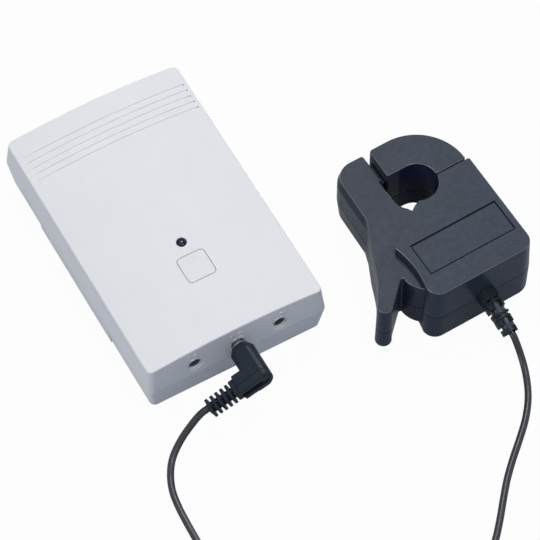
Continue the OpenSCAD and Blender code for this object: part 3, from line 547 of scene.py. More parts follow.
# Transmitter case
SPLIT, EDGE_R, CORNER = 12.4, 0.55, 2.2
SEAM = ((0.3, 0.05), (0.15, 0.18), (0.05, 0.42))  # parting line: distance from it, inset
CASE_X, CASE_Y = 35.5, 55.5
SIDE_LEAN, END_LEAN, BASE_LEAN = 0.9, 1.4, 1.6
TOP_X, TOP_Y = CASE_X - SIDE_LEAN, CASE_Y - END_LEAN
CROWN_TOP, CROWN_RISE = 27.1, 2.6
CROWN_R = (TOP_X ** 2 + CROWN_RISE ** 2) / (2 * CROWN_RISE)
SHELL_T, INNER_R = 2, 1.2
CORNER_STEPS = 6
GROOVES, GROOVE_PITCH, GROOVE_INSET = 5, 2.75, 9
GROOVE_HALF_W, GROOVE_DEPTH = 0.42, 0.34
GROOVE_X = (-32.5, 33.3)
PIT_X = 32.9
ROW_END = 51.5
BUTTON_Y, BUTTON_SIDE, BUTTON_R, BUTTON_GAP = -25.1, 11.2, 1.7, 0.25
LAMP_Y = -14.1
SOCKET_Y, SOCKET_PITCH = -54.98, 16.8
SOCKET_HOLE = [(2.4, -6), (2.4, -0.98), (2.5, -0.9), (2.84, -0.8), (2.9, -0.2), (2.96, -0.04), (3.1, 0.08),
    (3.9, 0.5), (3.9, 3)]


def crown(x):
    """Height of the crowned top at x."""
    return math.sqrt(CROWN_R ** 2 - x * x) + CROWN_TOP - CROWN_R


def chain(hx, hy, r, cols):
    """Front edge of a rounded rectangle with its two corners. cols are shares of the straight part."""
    straight = [(c * (hx - r), -hy) for c in cols]
    left = arc(-hx + r, -hy + r, r, 180, 270, CORNER_STEPS)
    return left + straight + arc(hx - r, -hy + r, r, 270, 360, CORNER_STEPS)


def outline(hx, hy, r, cols=(), rows=()):
    front = chain(hx, hy, r, cols)
    back = [(x, -y) for x, y in reversed(front)]
    return front + [(hx, y) for y in rows] + back + [(-hx, y) for y in reversed(rows)]


def crowned(name, levels, cols, rows, dip, middle=0):
    """Block with a crowned, gridded top face.

    levels are (half x, half y, corner, z of x), from the top down. dip lowers the grid.
    """
    rings = []
    for hx, hy, r, z in levels:
        rings.append([(x, y + middle, z(x)) for x, y in outline(hx, hy, r, cols, rows)])
    size = len(rings[0])
    verts = [p for ring in rings for p in ring]
    faces = ring_faces(len(rings), size)
    faces.append(tuple(range((len(rings) - 1) * size, len(rings) * size)))
    hx, hy, r, z = levels[0]
    front = chain(hx, hy, r, cols)
    n, m = len(front), len(rows)
    grid = []
    for i, (x, _) in enumerate(front):
        column = [i]
        for j, y in enumerate(rows):
            if i == 0:
                column.append(2 * n + m + (m - 1 - j))
            elif i == n - 1:
                column.append(n + j)
            else:
                column.append(len(verts))
                verts.append((x, y + middle, z(x) - dip(x, y)))
        column.append(n + m + (n - 1 - i))
        grid.append(column)
    for i in range(n - 1):
        for j in range(m + 1):
            faces.append((grid[i][j], grid[i + 1][j], grid[i + 1][j + 1], grid[i][j + 1]))
    return solid(name, verts, faces)


def groove_rows():
    """Rows across the grooves and plain rows elsewhere, and the middle of each groove."""
    across = [-0.5, -0.38, -0.28, -0.15, 0, 0.15, 0.28, 0.38, 0.5]
    places = [TOP_Y - GROOVE_INSET - GROOVE_PITCH * i for i in range(GROOVES)]
    rows = [y + a for y in places for a in across]
    low, high = min(rows), max(rows)
    rows += [low - 2.2 * k for k in range(1, 38)]
    rows += [high + 2.4 * k for k in range(1, 4)]
    return sorted(y for y in rows if -ROW_END < y < ROW_END), places


def groove_depth(x, y, places):
    """Depth at a point: round across each groove, easing out at its two ends."""
    near = min(abs(y - p) for p in places)
    across = 0.5 * (1 + math.cos(math.pi * min(near / GROOVE_HALF_W, 1)))
    along = min(max((GROOVE_X[1] - x) / 0.5, 0), max((x - GROOVE_X[0]) / 0.9, 0), 1)
    return GROOVE_DEPTH * across ** 0.7 * smooth(along)


MARKS = {"L": [(-2.3, 2.7), (-2.3, 0), (-0.6, 0)],
    1: [(0, 2.2), (0.5, 2.7), (0.5, 0)],
    2: [(0.5, 2), (0.8, 2.55), (1.5, 2.7), (2.15, 2.35), (2.05, 1.7), (0.6, 0), (2.3, 0)],
    3: [(0.5, 2.5), (1.4, 2.7), (2.15, 2.15), (1.9, 1.5), (1.2, 1.4), (2, 1.2), (2.25, 0.6), (1.6, 0),
        (0.5, 0.15)]}
MARK_Y, MARK_Z, MARK_LEAN = -54.63, 21.2, 83.3
STROKE_HALF_W, STROKE_SUNK, STROKE_PROUD = 0.18, 0.3, 0.34


def phase_mark(x, number):
    """Raised strokes over a socket: the line that its clamp goes round."""
    bars = []
    for way in (MARKS["L"], MARKS[number]):
        for a, b in zip(way, way[1:]):
            u = Vector((b[0] - a[0], b[1] - a[1])).normalized() * STROKE_HALF_W
            v = Vector((-u.y, u.x))
            a, b = Vector(a) - u, Vector(b) + u
            plan = [tuple(p) for p in (a - v, b - v, b + v, a + v)]
            bar = prism("bar", plan, -STROKE_SUNK, STROKE_PROUD)
            bars.append(move(bar, shift(x, MARK_Y, MARK_Z) @ spin("X", MARK_LEAN)))
    return bars


def case_top():
    """Upper shell: crowned, hollow, with grooves, openings and phase marks."""
    rows, places = groove_rows()
    # Columns of the top's grid, closer together at its sides
    edge = [32.25, 31.95, 31.6, 31.2, 30.6] + [29.4 - 1.4 * k for k in range(21)]
    cols = sorted({round(s * x / (TOP_X - CORNER), 6) for x in edge for s in (-1, 1)})
    levels = []
    for inset, drop in quarter(EDGE_R, (90, 72, 54, 36, 18, 0)):
        levels.append((TOP_X - inset, TOP_Y - inset, CORNER - inset, lambda x, d=drop: crown(x) - d))
    low = SPLIT + 0.4
    for f in (0.2, 0.4, 0.6, 0.8, 1):
        levels.append((TOP_X + SIDE_LEAN * f, CASE_Y - END_LEAN * (1 - f), CORNER,
            lambda x, f=f: (crown(x) - EDGE_R) * (1 - f) + low * f))
    for z, inset in SEAM:
        levels.append((CASE_X - inset, CASE_Y - inset, CORNER - inset, lambda x, z=z: SPLIT + z))
    ob = crowned("case_top", levels, cols, rows, lambda x, y: groove_depth(x, y, places))
    inner = [c / 6 for c in range(-5, 6)]
    hollow = [(TOP_X - SHELL_T, TOP_Y - SHELL_T, INNER_R, lambda x: crown(x) - SHELL_T),
        (CASE_X - SHELL_T, CASE_Y - SHELL_T, INNER_R, lambda x: SPLIT - 1)]
    cutters = [crowned("hollow", hollow, inner, [-30, 0, 30], lambda x, y: 0)]
    opening = flared("opening", square_plan(BUTTON_SIDE, BUTTON_R),
        [(20, -0.1), (26.86, -0.1), (26.98, -0.07), (27.05, -0.02), (27.09, 0.05), (28, 0.6)])
    cutters.append(move(opening, shift(0, BUTTON_Y, 0)))
    lens_hole = turned("lamp_hole", [(1.88, 20), (1.88, 26.95), (1.91, 27.03), (1.98, 27.1), (2.6, 28)])
    cutters.append(move(lens_hole, shift(0, LAMP_Y, 0)))
    marks = []
    for number, x in enumerate((-SOCKET_PITCH, 0, SOCKET_PITCH), 1):
        hole = turned("socket_hole", SOCKET_HOLE)
        cutters.append(move(hole, shift(x, SOCKET_Y, SOCKET_Z) @ spin("X", 90)))
        marks += phase_mark(x, number)
    for y in places:
        pit = turned("pit", [(0.3, -0.6), (0.3, 0.1), (0.42, 0.3), (0.42, 1)], 12)
        cutters.append(move(pit, shift(PIT_X, y, crown(PIT_X) - 0.2)))
    carve(ob, cutters)
    join(ob, marks)
    return place(ob, WHITE, "monitor", "upper_shell", 40)


def side_x(z):
    """Left side of the lower shell at height z."""
    return -(CASE_X - BASE_LEAN * (1 - z / SPLIT))


BAY_Y, BAY_X, BAY_Z, BAY_T = (-25.55, 31.55), -2.735, (1.9, 11.8), 1.6
DOOR_Y, DOOR_X, DOOR_LOW, DOOR_T, DOOR_H = (-24.05, 30.05), -3.035, 0.2, 1.6, 9.5
DOOR_ROOM, DOOR_LEDGE = 0.3, (0.7, 2.02)
CASE_SCREWS = (29, 46)
GRIPS, GRIP_PITCH, GRIP_AT = 5, 1.6, (-18, 3)


def case_base():
    """Lower shell: leaning sides, rounded foot, and the walls of the battery bay."""
    def level(z, inset):
        lean = BASE_LEAN * (1 - z / SPLIT) + inset
        return [(*p, z) for p in outline(CASE_X - lean, CASE_Y - lean, max(CORNER - inset, 0.6))]

    heights = [(0, 0.9), (0.07, 0.55), (0.26, 0.26), (0.55, 0.07), (0.9, 0), (4, 0), (8, 0), (SPLIT - 0.4, 0)]
    heights += [(SPLIT - d, inset) for d, inset in SEAM]
    ob = loft("case_base", [level(z, inset) for z, inset in heights])
    rings = []
    for z, w in ((2, 3.6), (13, SHELL_T)):
        rings.append([(*p, z) for p in outline(CASE_X - w, CASE_Y - w, INNER_R)])
    cutters = [loft("hollow", rings),
        block("door_room", (-40, DOOR_Y[0] - DOOR_ROOM, -1), (BAY_X, DOOR_Y[1] + DOOR_ROOM, 9.62)),
        block("door_ledge", (-40, BAY_Y[0], DOOR_LEDGE[0]), (BAY_X, BAY_Y[1], DOOR_LEDGE[1]))]
    for sx in (-1, 1):
        for sy in (-1, 1):
            cutters.append(screw_well(sx * CASE_SCREWS[0], sy * CASE_SCREWS[1], -1, 2.3, 3, 2.9, 1.6))
    carve(ob, cutters)
    left, right = side_x(2) + 1.2, BAY_X + BAY_T
    front, back = BAY_Y[0] - BAY_T, BAY_Y[1] + BAY_T
    low, high = BAY_Z
    bay = [block("wall", (left, front, low), (right, BAY_Y[0], high)),
        block("wall", (left, BAY_Y[1], low), (right, back, high)),
        block("wall", (BAY_X, front, low), (right, back, high))]
    join(ob, bay)
    return place(ob, WHITE, "monitor", "lower_shell", 40)


def door_panel():
    """Battery door: a flat panel with grip grooves, its upright tab and two tongues."""
    low, high = side_x(DOOR_LOW) - 0.45, side_x(DOOR_H) - 0.08
    profile = rounded([(DOOR_X, DOOR_LOW, 0.2), (DOOR_X, DOOR_T, 0.2), (low + 2.4, DOOR_T, 1),
        (high + 1.8, DOOR_H, 0.3), (high, DOOR_H, 0.25), (low, DOOR_LOW, 0.5)], 5)
    n = normals(profile)
    ends = ((0, -0.3), (0.1, -0.1), (0.3, 0))
    rings = []
    for y, inset in [(DOOR_Y[0] + d, i) for d, i in ends] + [(DOOR_Y[1] - d, i) for d, i in ends[::-1]]:
        rings.append([(p[0] + v.x * inset, y, p[1] + v.y * inset) for p, v in zip(profile, n)])
    ob = loft("door_panel", rings)
    grips = []
    for i in range(GRIPS):
        grip = prism("grip", rect_plan((-0.25, -7), (0.25, 7), 0.24, 4), -1, 0.5)
        grips.append(move(grip, shift(GRIP_AT[0] + GRIP_PITCH * i, GRIP_AT[1], 0)))
    carve(ob, grips)
    tongues = [block("tongue", (low + 2, DOOR_Y[0] - 1.2, 0.9), (DOOR_X, DOOR_Y[0] + 1, DOOR_T)),
        block("tongue", (low + 2, DOOR_Y[1] - 1, 0.9), (DOOR_X, DOOR_Y[1] + 1.2, DOOR_T))]
    join(ob, tongues)
    return place(ob, WHITE, "door", "battery_door", 40)


def button_cap():
    """Push button: crowned like the case, slightly dished, with a flange that holds it in."""
    half = BUTTON_SIDE / 2 - BUTTON_GAP
    r = BUTTON_R - BUTTON_GAP
    foot, flange_t, edge_r = 24.3, 0.5, 0.2
    wide = half + 1.05
    levels = []
    for inset, drop in quarter(edge_r, (90, 60, 30, 0)):
        levels.append((half - inset, half - inset, r - inset, lambda x, d=drop: crown(x) - d))
    levels.append((half, half, r, lambda x: foot + flange_t))
    levels.append((wide, wide, r + BUTTON_GAP, lambda x: foot + flange_t))
    levels.append((wide, wide, r + BUTTON_GAP, lambda x: foot))
    steps = [k / 6 for k in range(-5, 6)]
    ob = crowned("button_cap", levels, steps, [4 * k for k in steps],
        lambda x, y: 0.07 * max(0, 1 - (x * x + y * y) / 22), BUTTON_Y)
    return place(ob, BUTTON, "button", "pair_button", 40)


def lamp_lens():
    """Dark lens with a low dome, on a flange inside the case."""
    base, rim, r, rise = 21.9, 26.9, 1.8, 0.62
    dome = [(r * math.cos(rad(t)), rim + rise * math.sin(rad(t))) for t in range(0, 90, 10)]
    ob = turned("lamp_lens", [(2.3, base), (2.3, base + 0.8), (r, base + 0.85), *dome, (0.05, rim + rise)])
    move(ob, shift(0, LAMP_Y, 0))
    return place(ob, LAMP, "monitor", "status_led", 40)


# Plug, in its own drooping frame: y along the barrel, the arm towards -x
PLUG_AT = shift(0, 0, SOCKET_Z) @ spin("Y", -DROOP)
BARREL_Y, PLUG_END = -56.2, -72.687
PLUG_W, ARM_W = 9, 7.8
PARTING_Y, PARTING_GAP = ARM_Y - 0.9, 0.08
RIBS, RIB_PITCH, RIB_T = 5, 2.1, 1.05
RIB_CORE, RIB_CORE_R = 3.9, 1.8


def barrel(w):
    """Section of the barrel: soft on the arm's side, blunt on the other, with crisp ridges between."""
    c, h = 0.26 * w, w / 2
    crisp, easy, soft = 0.035 * w, 0.54 * w, 0.36 * w
    return rounded([(h, c - h, easy), (h, h - c, easy), (h - c, h, crisp), (-h, h, soft), (-h, -h, soft),
        (h - c, -h, crisp)])


def arm_section(w):
    return rect_plan((-w / 2, -w / 2), (w / 2, w / 2), 0.5, 5, 1.6)


def plug_half(top):
    """Half of the moulding, on one side of its parting line."""
    rings = []
    for y, w, dx in ((BARREL_Y, 5.6, 0), (BARREL_Y - 0.25, 6.2, 0), (BARREL_Y - 2.2, 8.8, 0),
            (BARREL_Y - 2.6, PLUG_W, 0), (PLUG_END + 0.9, PLUG_W, 0), (PLUG_END + 0.4, 8.8, -0.1),
            (PLUG_END + 0.1, 8.4, -0.3), (PLUG_END, 8, -0.5)):
        rings.append([(x + dx, y, z) for x, z in barrel(w)])
    body = loft("plug", rings)
    rings = []
    for x, less in ((0, 0), (-7.7, 0), (-7.95, 0.2), (-8.05, 0.5), (-8.1, 1.4), (-9.9, 1.5), (-10.1, 1.8)):
        rings.append([(x, ARM_Y + u, v) for u, v in arm_section(ARM_W - less)])
    carve(body, [loft("arm", rings)], "UNION")
    pill = rect_plan((-8.6, -1.7), (3, 1.7), 1.2, 8, 1.68)
    trench = rect_plan((-8.3, -0.55), (0.3, 1.4), 0.5, 4, 0.9)
    slit = rect_plan((-3.4, -1.45), (1.2, -0.9), 0.25, 4)
    cutters = [flared("recess", pill, [(-1, 0.3), (0, 0.06), (0.1, 0), (0.5, -0.03)])]
    cutters += [prism("slot", plan, 0.3, 1.9) for plan in (trench, slit)]
    for cutter in cutters:
        move(cutter, shift(0, PLUG_END, 0) @ spin("X", -90))
    side = (PARTING_Y + PARTING_GAP, BARREL_Y + 5) if top else (PLUG_END - 5, PARTING_Y - PARTING_GAP)
    keep = block("keep", (-30, side[0], -20), (30, side[1], 20))
    carve(body, cutters)
    carve(body, [keep], "INTERSECT")
    return round_edges(body, 0.14, 2, 35)


def plug_moulding():
    ob = join(apply(plug_half(True)), [apply(plug_half(False))])
    ob.name = "plug_moulding"
    return place(move(ob, PLUG_AT), PLUG, "monitor", "plug_body")


def plug_ribs():
    """Comb of ribs on the arm's end, with a spine along its top."""
    lean, first = 0.5, 9.8

    def level(x, w, h, r):
        return [(-x, ARM_Y - lean + u, v) for u, v in rect_plan((-w / 2, -h / 2), (w / 2, h / 2), r, 5)]

    def core(x):
        return level(x, RIB_CORE, RIB_CORE, RIB_CORE_R)

    rings = [core(9.6)]
    for i in range(1, RIBS + 1):
        end = first + RIB_PITCH * i
        w = 6.3 - 0.05 * i
        h = w - 0.3
        rings += [core(end - RIB_T - 0.01), level(end - RIB_T, w - 0.16, h - 0.16, 0.9),
            level(end - RIB_T + 0.07, w, h, 1), level(end - 0.07, w, h, 1),
            level(end, w - 0.16, h - 0.16, 0.9), core(end + 0.01)]
    rings.append(level(ARM_REACH, 3.8, 3.8, RIB_CORE_R))
    ob = loft("plug_ribs", rings)
    join(ob, [block("spine", (-20.6, PARTING_Y - 0.2, 0), (-9.9, PARTING_Y + 0.2, 3))])
    return place(move(ob, PLUG_AT), PLUG, "monitor", "plug_strain_relief")


# Clamp, in its own frame: the window's middle at the origin
CLAMP_H, CLAMP_SPLIT = 31, 13.7
WINDOW_R, ARCH_R, ARCH_TIP, ARCH_LOW = 7.5, 20, -7.8, 4
BODY_X, BODY_FRONT, BODY_R = 21.3, -43.1, 5
BODY_SEAM, ARCH_SEAM = -0.95, -0.65
TOP_EDGE = 0.55
PIVOT = (-14.3, -28.5)
EAR_R = 10.1
DRAFT = 1.2
ROOM_LOW, ROOM_TOP = 3.3, 27.7
POLE_Y, POLE_Z = (9.1, 18.4), (6.8, 24.2)
RECESS = ((-16.7, -34.25), (18.9, -20.75))
PANEL = ((-16.25, -33.8), (18.45, -21.3))
CLAMP_SCREWS = ((16.8, -38.1), (-4.43, -37.71), (16.6, -24.6))


def body_plan():
    """Fixed body from above, counter-clockwise from its corner at the arch."""
    start = math.degrees(math.asin(BODY_SEAM / WINDOW_R))
    pts = fillet((BODY_X, -10), (BODY_X, BODY_SEAM), (10, BODY_SEAM), 0.8, 5)
    pts += fillet((12, BODY_SEAM), (WINDOW_R, BODY_SEAM), (WINDOW_R - 0.2, BODY_SEAM - 1.5), 0.65, 3)
    pts += arc(0, 0, WINDOW_R, start - 9, -116, 26)
    a, b, c = Vector(pts[-1]), Vector((-4.75, -6.55)), Vector((-7.9, -8.85))
    for k in range(1, 8):
        t = k / 8
        pts.append(tuple(a * (1 - t) ** 2 + b * 2 * t * (1 - t) + c * t * t))
    pts += line(tuple(c), (-20.4, -17.82), 6)
    pts += fillet((-7.9, -8.85), (-21.5, -18.6), (-21.2, -20.5), 0.8, 4)
    corner = BODY_FRONT + BODY_R
    for k in range(1, 12):
        t = 1 - k / 12
        pts.append((-21 - 0.5 * t + 5.2 * t * (1 - t), corner + (-18.6 - corner) * t))
    pts += arc(-16, corner, BODY_R, 180, 270, 10)
    pts += line((-15, BODY_FRONT), (15.3, BODY_FRONT), 8)
    pts += arc(BODY_X - BODY_R, corner, BODY_R, 270, 360, 10)
    pts += line((BODY_X, corner + 1), (BODY_X, -3), 8)
    return pts


def arch_plan():
    """Fixed arch from above, counter-clockwise from its outer corner at the body."""
    seam = ARCH_SEAM
    pts = arc(0, 0, ARCH_R, math.degrees(math.asin(seam / ARCH_R)) + 2, 90, 28)
    pts += line((-1, ARCH_R), (-5, ARCH_R), 3)
    pts += fillet((0, ARCH_R), (ARCH_TIP, ARCH_R), (ARCH_TIP, 10), 1.4, 6)
    pts += line((ARCH_TIP, 17), (ARCH_TIP, 9), 3)
    pts += fillet((ARCH_TIP, 12), (ARCH_TIP, WINDOW_R), (0, WINDOW_R), 0.7, 4)
    pts += line((-6, WINDOW_R), (-1, WINDOW_R), 3)
    pts += arc(0, 0, WINDOW_R, 90, math.degrees(math.asin(seam / WINDOW_R)) + 6, 24)
    pts += fillet((WINDOW_R, 3), (WINDOW_R, seam), (12, seam), 0.6, 3)
    pts += line((9, seam), (18, seam), 4)
    pts += fillet((10, seam), (ARCH_R, seam), (ARCH_R, 3), 0.65, 4)
    return pts


def edge_levels(z, r, up, draft=0):
    """Rounded edge of radius r that ends at height z, from its outside to its inside."""
    edge = quarter(r, (0, 22.5, 45, 67.5, 90))
    return [(z - drop if up else z + drop, -inset, draft) for inset, drop in edge]


def parting(above, *more):
    """Levels (z, growth, more) of the groove at the parting line, upwards, for the half above or below it."""
    groove = ((0.03, -0.28), (0.1, -0.12), (0.3, 0))
    if above:
        return [(CLAMP_SPLIT + d, grow, *more) for d, grow in groove]
    return [(CLAMP_SPLIT - d, grow, *more) for d, grow in groove[::-1]]


def shell(ob, mat, highlighted=False):
    """Finish of a black shell: painted shade, a darker colour, on the wall in the window, and on upper edges,
    if highlighted, a painted highlight, a lighter and glossier finish.
    """
    finishes = [mat, EDGE_HIGHLIGHT, PAINTED_SHADE] if highlighted else [mat, PAINTED_SHADE]
    for finish in finishes:
        ob.data.materials.append(finish)
    for face in ob.data.polygons:
        p = face.center / MM
        # Faces of the wall round the window get the painted shade
        if math.hypot(p.x, p.y) < WINDOW_R + 0.3 and abs(face.normal.z) < 0.3:
            face.material_index = len(finishes) - 1
        # Sloped faces that face upwards get the painted highlight
        elif highlighted and 0.35 < face.normal.z < 0.97:
            face.material_index = 1
    return ob


def inner_cutters(z0, z1):
    """Room in the body for the swing of the jaw, for its ear, and for the core and winding."""
    sweep = [(-4.6, -5.6), (-60, -5.6), (-60, PIVOT[1]), PIVOT, (-8, -20), (-8, -12.4)]
    room = [(-17.3, -41.1), (19.8, -41.1), (19.8, -4.8), (10.6, -4.8), (7, -8.6), (2, -10.8), (-4, -11),
        (-17.3, -20)]
    ear = arc(*PIVOT, EAR_R + 0.4, 0, 354, 59)
    return [prism("sweep", sweep, z0, z1), prism("ear_room", ear, z0, z1), prism("room", room, z0, z1)]


def pole_room():
    return block("pole", (-12, POLE_Y[0], POLE_Z[0]), (-4, POLE_Y[1], POLE_Z[1]))


def clamp_upper():
    """Upper half of the body, with a raised panel in its recess."""
    levels = parting(True, DRAFT) + [(20, 0, 0.76), (26, 0, 0.35)]
    levels += edge_levels(CLAMP_H, TOP_EDGE, True)
    ob = shell(flared("clamp_upper", body_plan(), levels), BLACK, True)
    recess = flared("recess", rect_plan(*RECESS), [(30.2, 0), (30.93, 0), (31.02, 0.06), (32, 0.5)])
    carve(ob, inner_cutters(13, ROOM_TOP) + [recess])
    join(ob, [flared("panel", rect_plan(*PANEL), [(29.9, 0), (30.55, 0), (30.65, -0.03), (30.7, -0.1)])])
    return place(move(ob, CLAMP), BLACK, "monitor", "clamp_cover")


def arch():
    """Upper half of the fixed arch."""
    levels = parting(True) + [(20, 0), (26, 0)] + edge_levels(CLAMP_H, TOP_EDGE, True)
    ob = shell(flared("arch", arch_plan(), levels), BLACK, True)
    carve(ob, [pole_room()])
    return place(move(ob, CLAMP), BLACK, "monitor", "arch_cap")


def clamp_lower():
    """Lower half of the body, and of the arch, with a bridge between them."""
    levels = edge_levels(0, 0.6, False, DRAFT - 0.1)[::-1] + [(6, 0, DRAFT - 0.05)]
    levels += parting(False, DRAFT)
    ob = shell(flared("clamp_lower", body_plan(), levels), BLACK)
    wells = [screw_well(a, b, -1, 2.2, 3, 2.4, 1.4) for a, b in CLAMP_SCREWS]
    carve(ob, inner_cutters(ROOM_LOW, 14.5) + wells)
    levels = edge_levels(ARCH_LOW, TOP_EDGE, False)[::-1] + [(8, 0)] + parting(False)
    rim = shell(flared("rim", arch_plan(), levels), BLACK)
    carve(rim, [pole_room()])
    join(ob, [rim, block("bridge", (8.4, -2.2, 4.6), (19.2, 0.6, 13.5))])
    return place(move(ob, CLAMP), BLACK, "monitor", "clamp_base")


# Jaw and lever, in the clamp's frame
JAW_LOW, JAW_TOP, JAW_END = 3.6, 27.4, 21.3
JAW_FACE, JAW_STEP = -9.4, -10.1
JAW_SCREWS = ((-22.5, -9.2), (PIVOT[0] - 8.1, PIVOT[1] - 0.3))
PIN_R, SPRING_R, SPRING_Z = 2.06, 5.8, (9.3, 19.2)
LEVER_DRAFT, LEVER_TOP = 1.5, 26.4


def jaw_plan():
    """Outline points with two weights, for the back bevel and for the lever's draft.

    The bevel's weight is a share along the normal, or a vector.
    """
    def tag(pts, pad=0, lever=0):
        return [(*p, pad, lever) for p in pts]

    out = tag(fillet((JAW_FACE, 9), (JAW_FACE, JAW_END), (-15, JAW_END), 1, 5))
    out += [(a, JAW_END, min(1, (-10.6 - a) / 4.4), 0) for a in (-11.5, -12.6, -13.8)]
    out += tag(arc(-15, 14.3, 7, 90, 180, 16), 1)
    out += tag(line((-22.03, 13.5), (-22.36, 2.6), 6), 1)
    out += [(-22.42, 0.4, 1, 0), (-22.46, -0.8, 1, 0), (-22.5, -2, Vector((-1, -2.114)), 0)]
    edge = line((-23.82, -4.8), (-28.2, -14.05), 6) + line((-28.2, -14.05), (-31.8, -23.4), 5)
    edge += [(-31.8, -23.4), (-33.2, -26), (-34.9, -28.6), (-36.6, -31.2)]
    out += [(*p, 0, min(1, (-2.4 - p[1]) / 4, (p[1] + 28.6) / 8)) for p in edge]
    out += tag(arc(-35.9, -35, 2.7, 148, 318, 18), 0, -0.6)
    notch = (PIVOT[0] + EAR_R * math.cos(rad(175.5)), PIVOT[1] + EAR_R * math.sin(rad(175.5)))
    out += tag(line((-33.2, -36.15), (-26, -29.25), 6))
    out += tag(fillet((-30, -33.1), notch, (notch[0] + 0.3, notch[1] - 2), 0.9, 4))
    out += tag(arc(*PIVOT, EAR_R, 184, 418, 44))
    low = PIVOT[0] + EAR_R * math.cos(rad(418))
    out += tag(line((low, -18.6), (low, -13.4), 2))
    out += tag(fillet((low, -18), (low, -12.6), (-6.6, -7.2), 1.5, 4))
    out += tag([(-7.3, -9.3)])
    out += tag(fillet((low, -12.6), (-6.6, -7.2), (-8.4, -4.7), 1, 4))
    out += tag(arc(-2.6, 0, WINDOW_R, 228, 180, 10))
    out += tag(line((JAW_STEP, 1.5), (JAW_STEP, 8.4), 3))
    out += tag([(JAW_STEP, 9.2), (JAW_FACE, 9.2)])
    out += tag(line((JAW_FACE, 10.5), (JAW_FACE, 19.5), 3))
    return out


def jaw_walls(name, levels):
    """Stack of the jaw's outlines: levels are (z, growth all round, growth of the bevel, draft)."""
    plan = jaw_plan()
    n = normals([p[:2] for p in plan])
    rings = []
    for z, grow, back, draft in levels:
        ring = []
        for (a, b, pad, lever), v in zip(plan, n):
            bevel = pad if isinstance(pad, Vector) else v * pad
            p = Vector((a, b)) + v * (grow - draft * lever) + bevel * back
            ring.append((p.x, p.y, z))
        rings.append(ring)
    return loft(name, rings)


def jaw_cutters():
    """Room for the core, the pin and the spring, open towards the body."""
    channel = [(-20.7, -20.2), (-8.2, -20.2), (-8.2, -12.8), (-11.4, -12.8), (-11.4, POLE_Y[0]),
        (-8, POLE_Y[0]), (-8, POLE_Y[1]), (-20.7, POLE_Y[1])]
    wedge = [PIVOT] + arc(*PIVOT, EAR_R + 2, -80, -12, 8)
    return [prism("channel", channel, *POLE_Z), prism("bore", arc(*PIVOT, PIN_R, 0, 352.5, 47), 0, 40),
        prism("spring_room", arc(*PIVOT, SPRING_R, 0, 352.5, 47), *SPRING_Z),
        prism("wedge", wedge, SPRING_Z[0] + 0.01, SPRING_Z[1] - 0.01)]


def slope(z):
    """Draft of the lever's side at height z."""
    return math.tan(rad(LEVER_DRAFT)) * max(0, LEVER_TOP - z)


def jaw_top():
    """Upper half of jaw and lever, with a bevel along its back."""
    levels = parting(True, 1, slope(CLAMP_SPLIT))
    for z, back in ((17, 1), (20, 1), (23, 1), (23.4, 0.98), (23.7, 0.9), (25.2, 0.5)):
        levels.append((z, 0, back, slope(z)))
    for z, grow, _ in edge_levels(JAW_TOP, 0.5, True):
        levels.append((z, grow, 0.42 * (JAW_TOP - z) / 2.2, slope(z)))
    ob = shell(jaw_walls("jaw_top", levels), JAW, True)
    carve(ob, jaw_cutters())
    return place(move(ob, CLAMP), JAW, "jaw", "jaw_upper", 32)


def jaw_bottom():
    """Lower half of jaw and lever, drawn in towards its foot."""
    levels = []
    for z, grow, _ in edge_levels(JAW_LOW, 0.7, False)[::-1]:
        levels.append((z, grow, 0.14 * (z - JAW_LOW), slope(z)))
    levels += [(z, 0, 0.1 + 0.9 * (z - 4.3) / 9.1, slope(z)) for z in (6, 8, 10, 12)]
    levels += parting(False, 1, slope(CLAMP_SPLIT))
    ob = shell(jaw_walls("jaw_bottom", levels), JAW)
    carve(ob, jaw_cutters() + [screw_well(a, b, 2, 5.2, 6, 1.7, 1.1) for a, b in JAW_SCREWS])
    return place(move(ob, CLAMP), JAW, "jaw", "jaw_lower", 32)


# Clamp's relief: start and end along the neck, width, lobe whose tilt it has, and a ring's half gap
RELIEF_RINGS = ((-0.8, 3.45, 7, 0, 0), (3.95, 4.7, 6.7, 1, 0), (4.7, 6.9, 6.7, 1, 1.75),
    (8.6, 9.5, 6.5, 2, 0), (10.2, 11, 6.1, 2, 0), (11, 13.2, 6.1, 2, 1.6), (14.4, 16.7, 5.4, 3, 1.3))
RELIEF_WALLS = ((-0.5, 4.3, 6.9, 0), (4.2, 7.05, 6.7, 1), (8.05, 8.7, 6.4, 1), (8.6, 13.3, 6.1, 2))
RELIEF_OFF, NECK_R = -0.45, 2.4


def relief_lobes():
    """Rings on a drooping core, some open along their tops, with a wall along the left that joins them."""
    off = RELIEF_OFF

    def along(ob, i):
        return move(ob, shift(*lobe_at(i)) @ spin("X", 90 + lobe_tilt(i)))

    parts = []
    for start, end, w, i, gap in RELIEF_RINGS:
        a, b = start - i * LOBE_PITCH, end - i * LOBE_PITCH
        plan = [(x + off, y) for x, y in square_plan(w, w * 0.3)]
        ring = flared("ring", plan,
            [(a, -0.2), (a + 0.06, -0.06), (a + 0.18, 0), (b - 0.18, 0), (b - 0.06, -0.06), (b, -0.2)])
        if gap:
            carve(ring, [block("gap", (off - gap + 0.15, 0.6, a - 1), (off + gap + 0.15, w, b + 1))])
        parts.append(along(ring, i))
    for start, end, w, i in RELIEF_WALLS:
        a, b = start - i * LOBE_PITCH, end - i * LOBE_PITCH
        left = off - w / 2
        wall = block("wall", (left + 0.25, 0.7 - w / 2, a), (left + 1.6, w / 2 - 1.3, b))
        parts.append(along(wall, i))
    for i in range(LOBES):
        core = turned("core", [(NECK_R, -0.3), (NECK_R, LOBE_PITCH if i < LOBES - 1 else LOBE_T)], 32)
        for face in core.data.polygons:
            face.material_index = 1
        parts.append(along(core, i))
    ob = join(parts[0], parts[1:])
    ob.data.materials.append(PLUG)
    ob.data.materials.append(NECK)
    ob.name = "relief_lobes"
    return place(move(ob, CLAMP), PLUG, "monitor", "clamp_strain_relief")


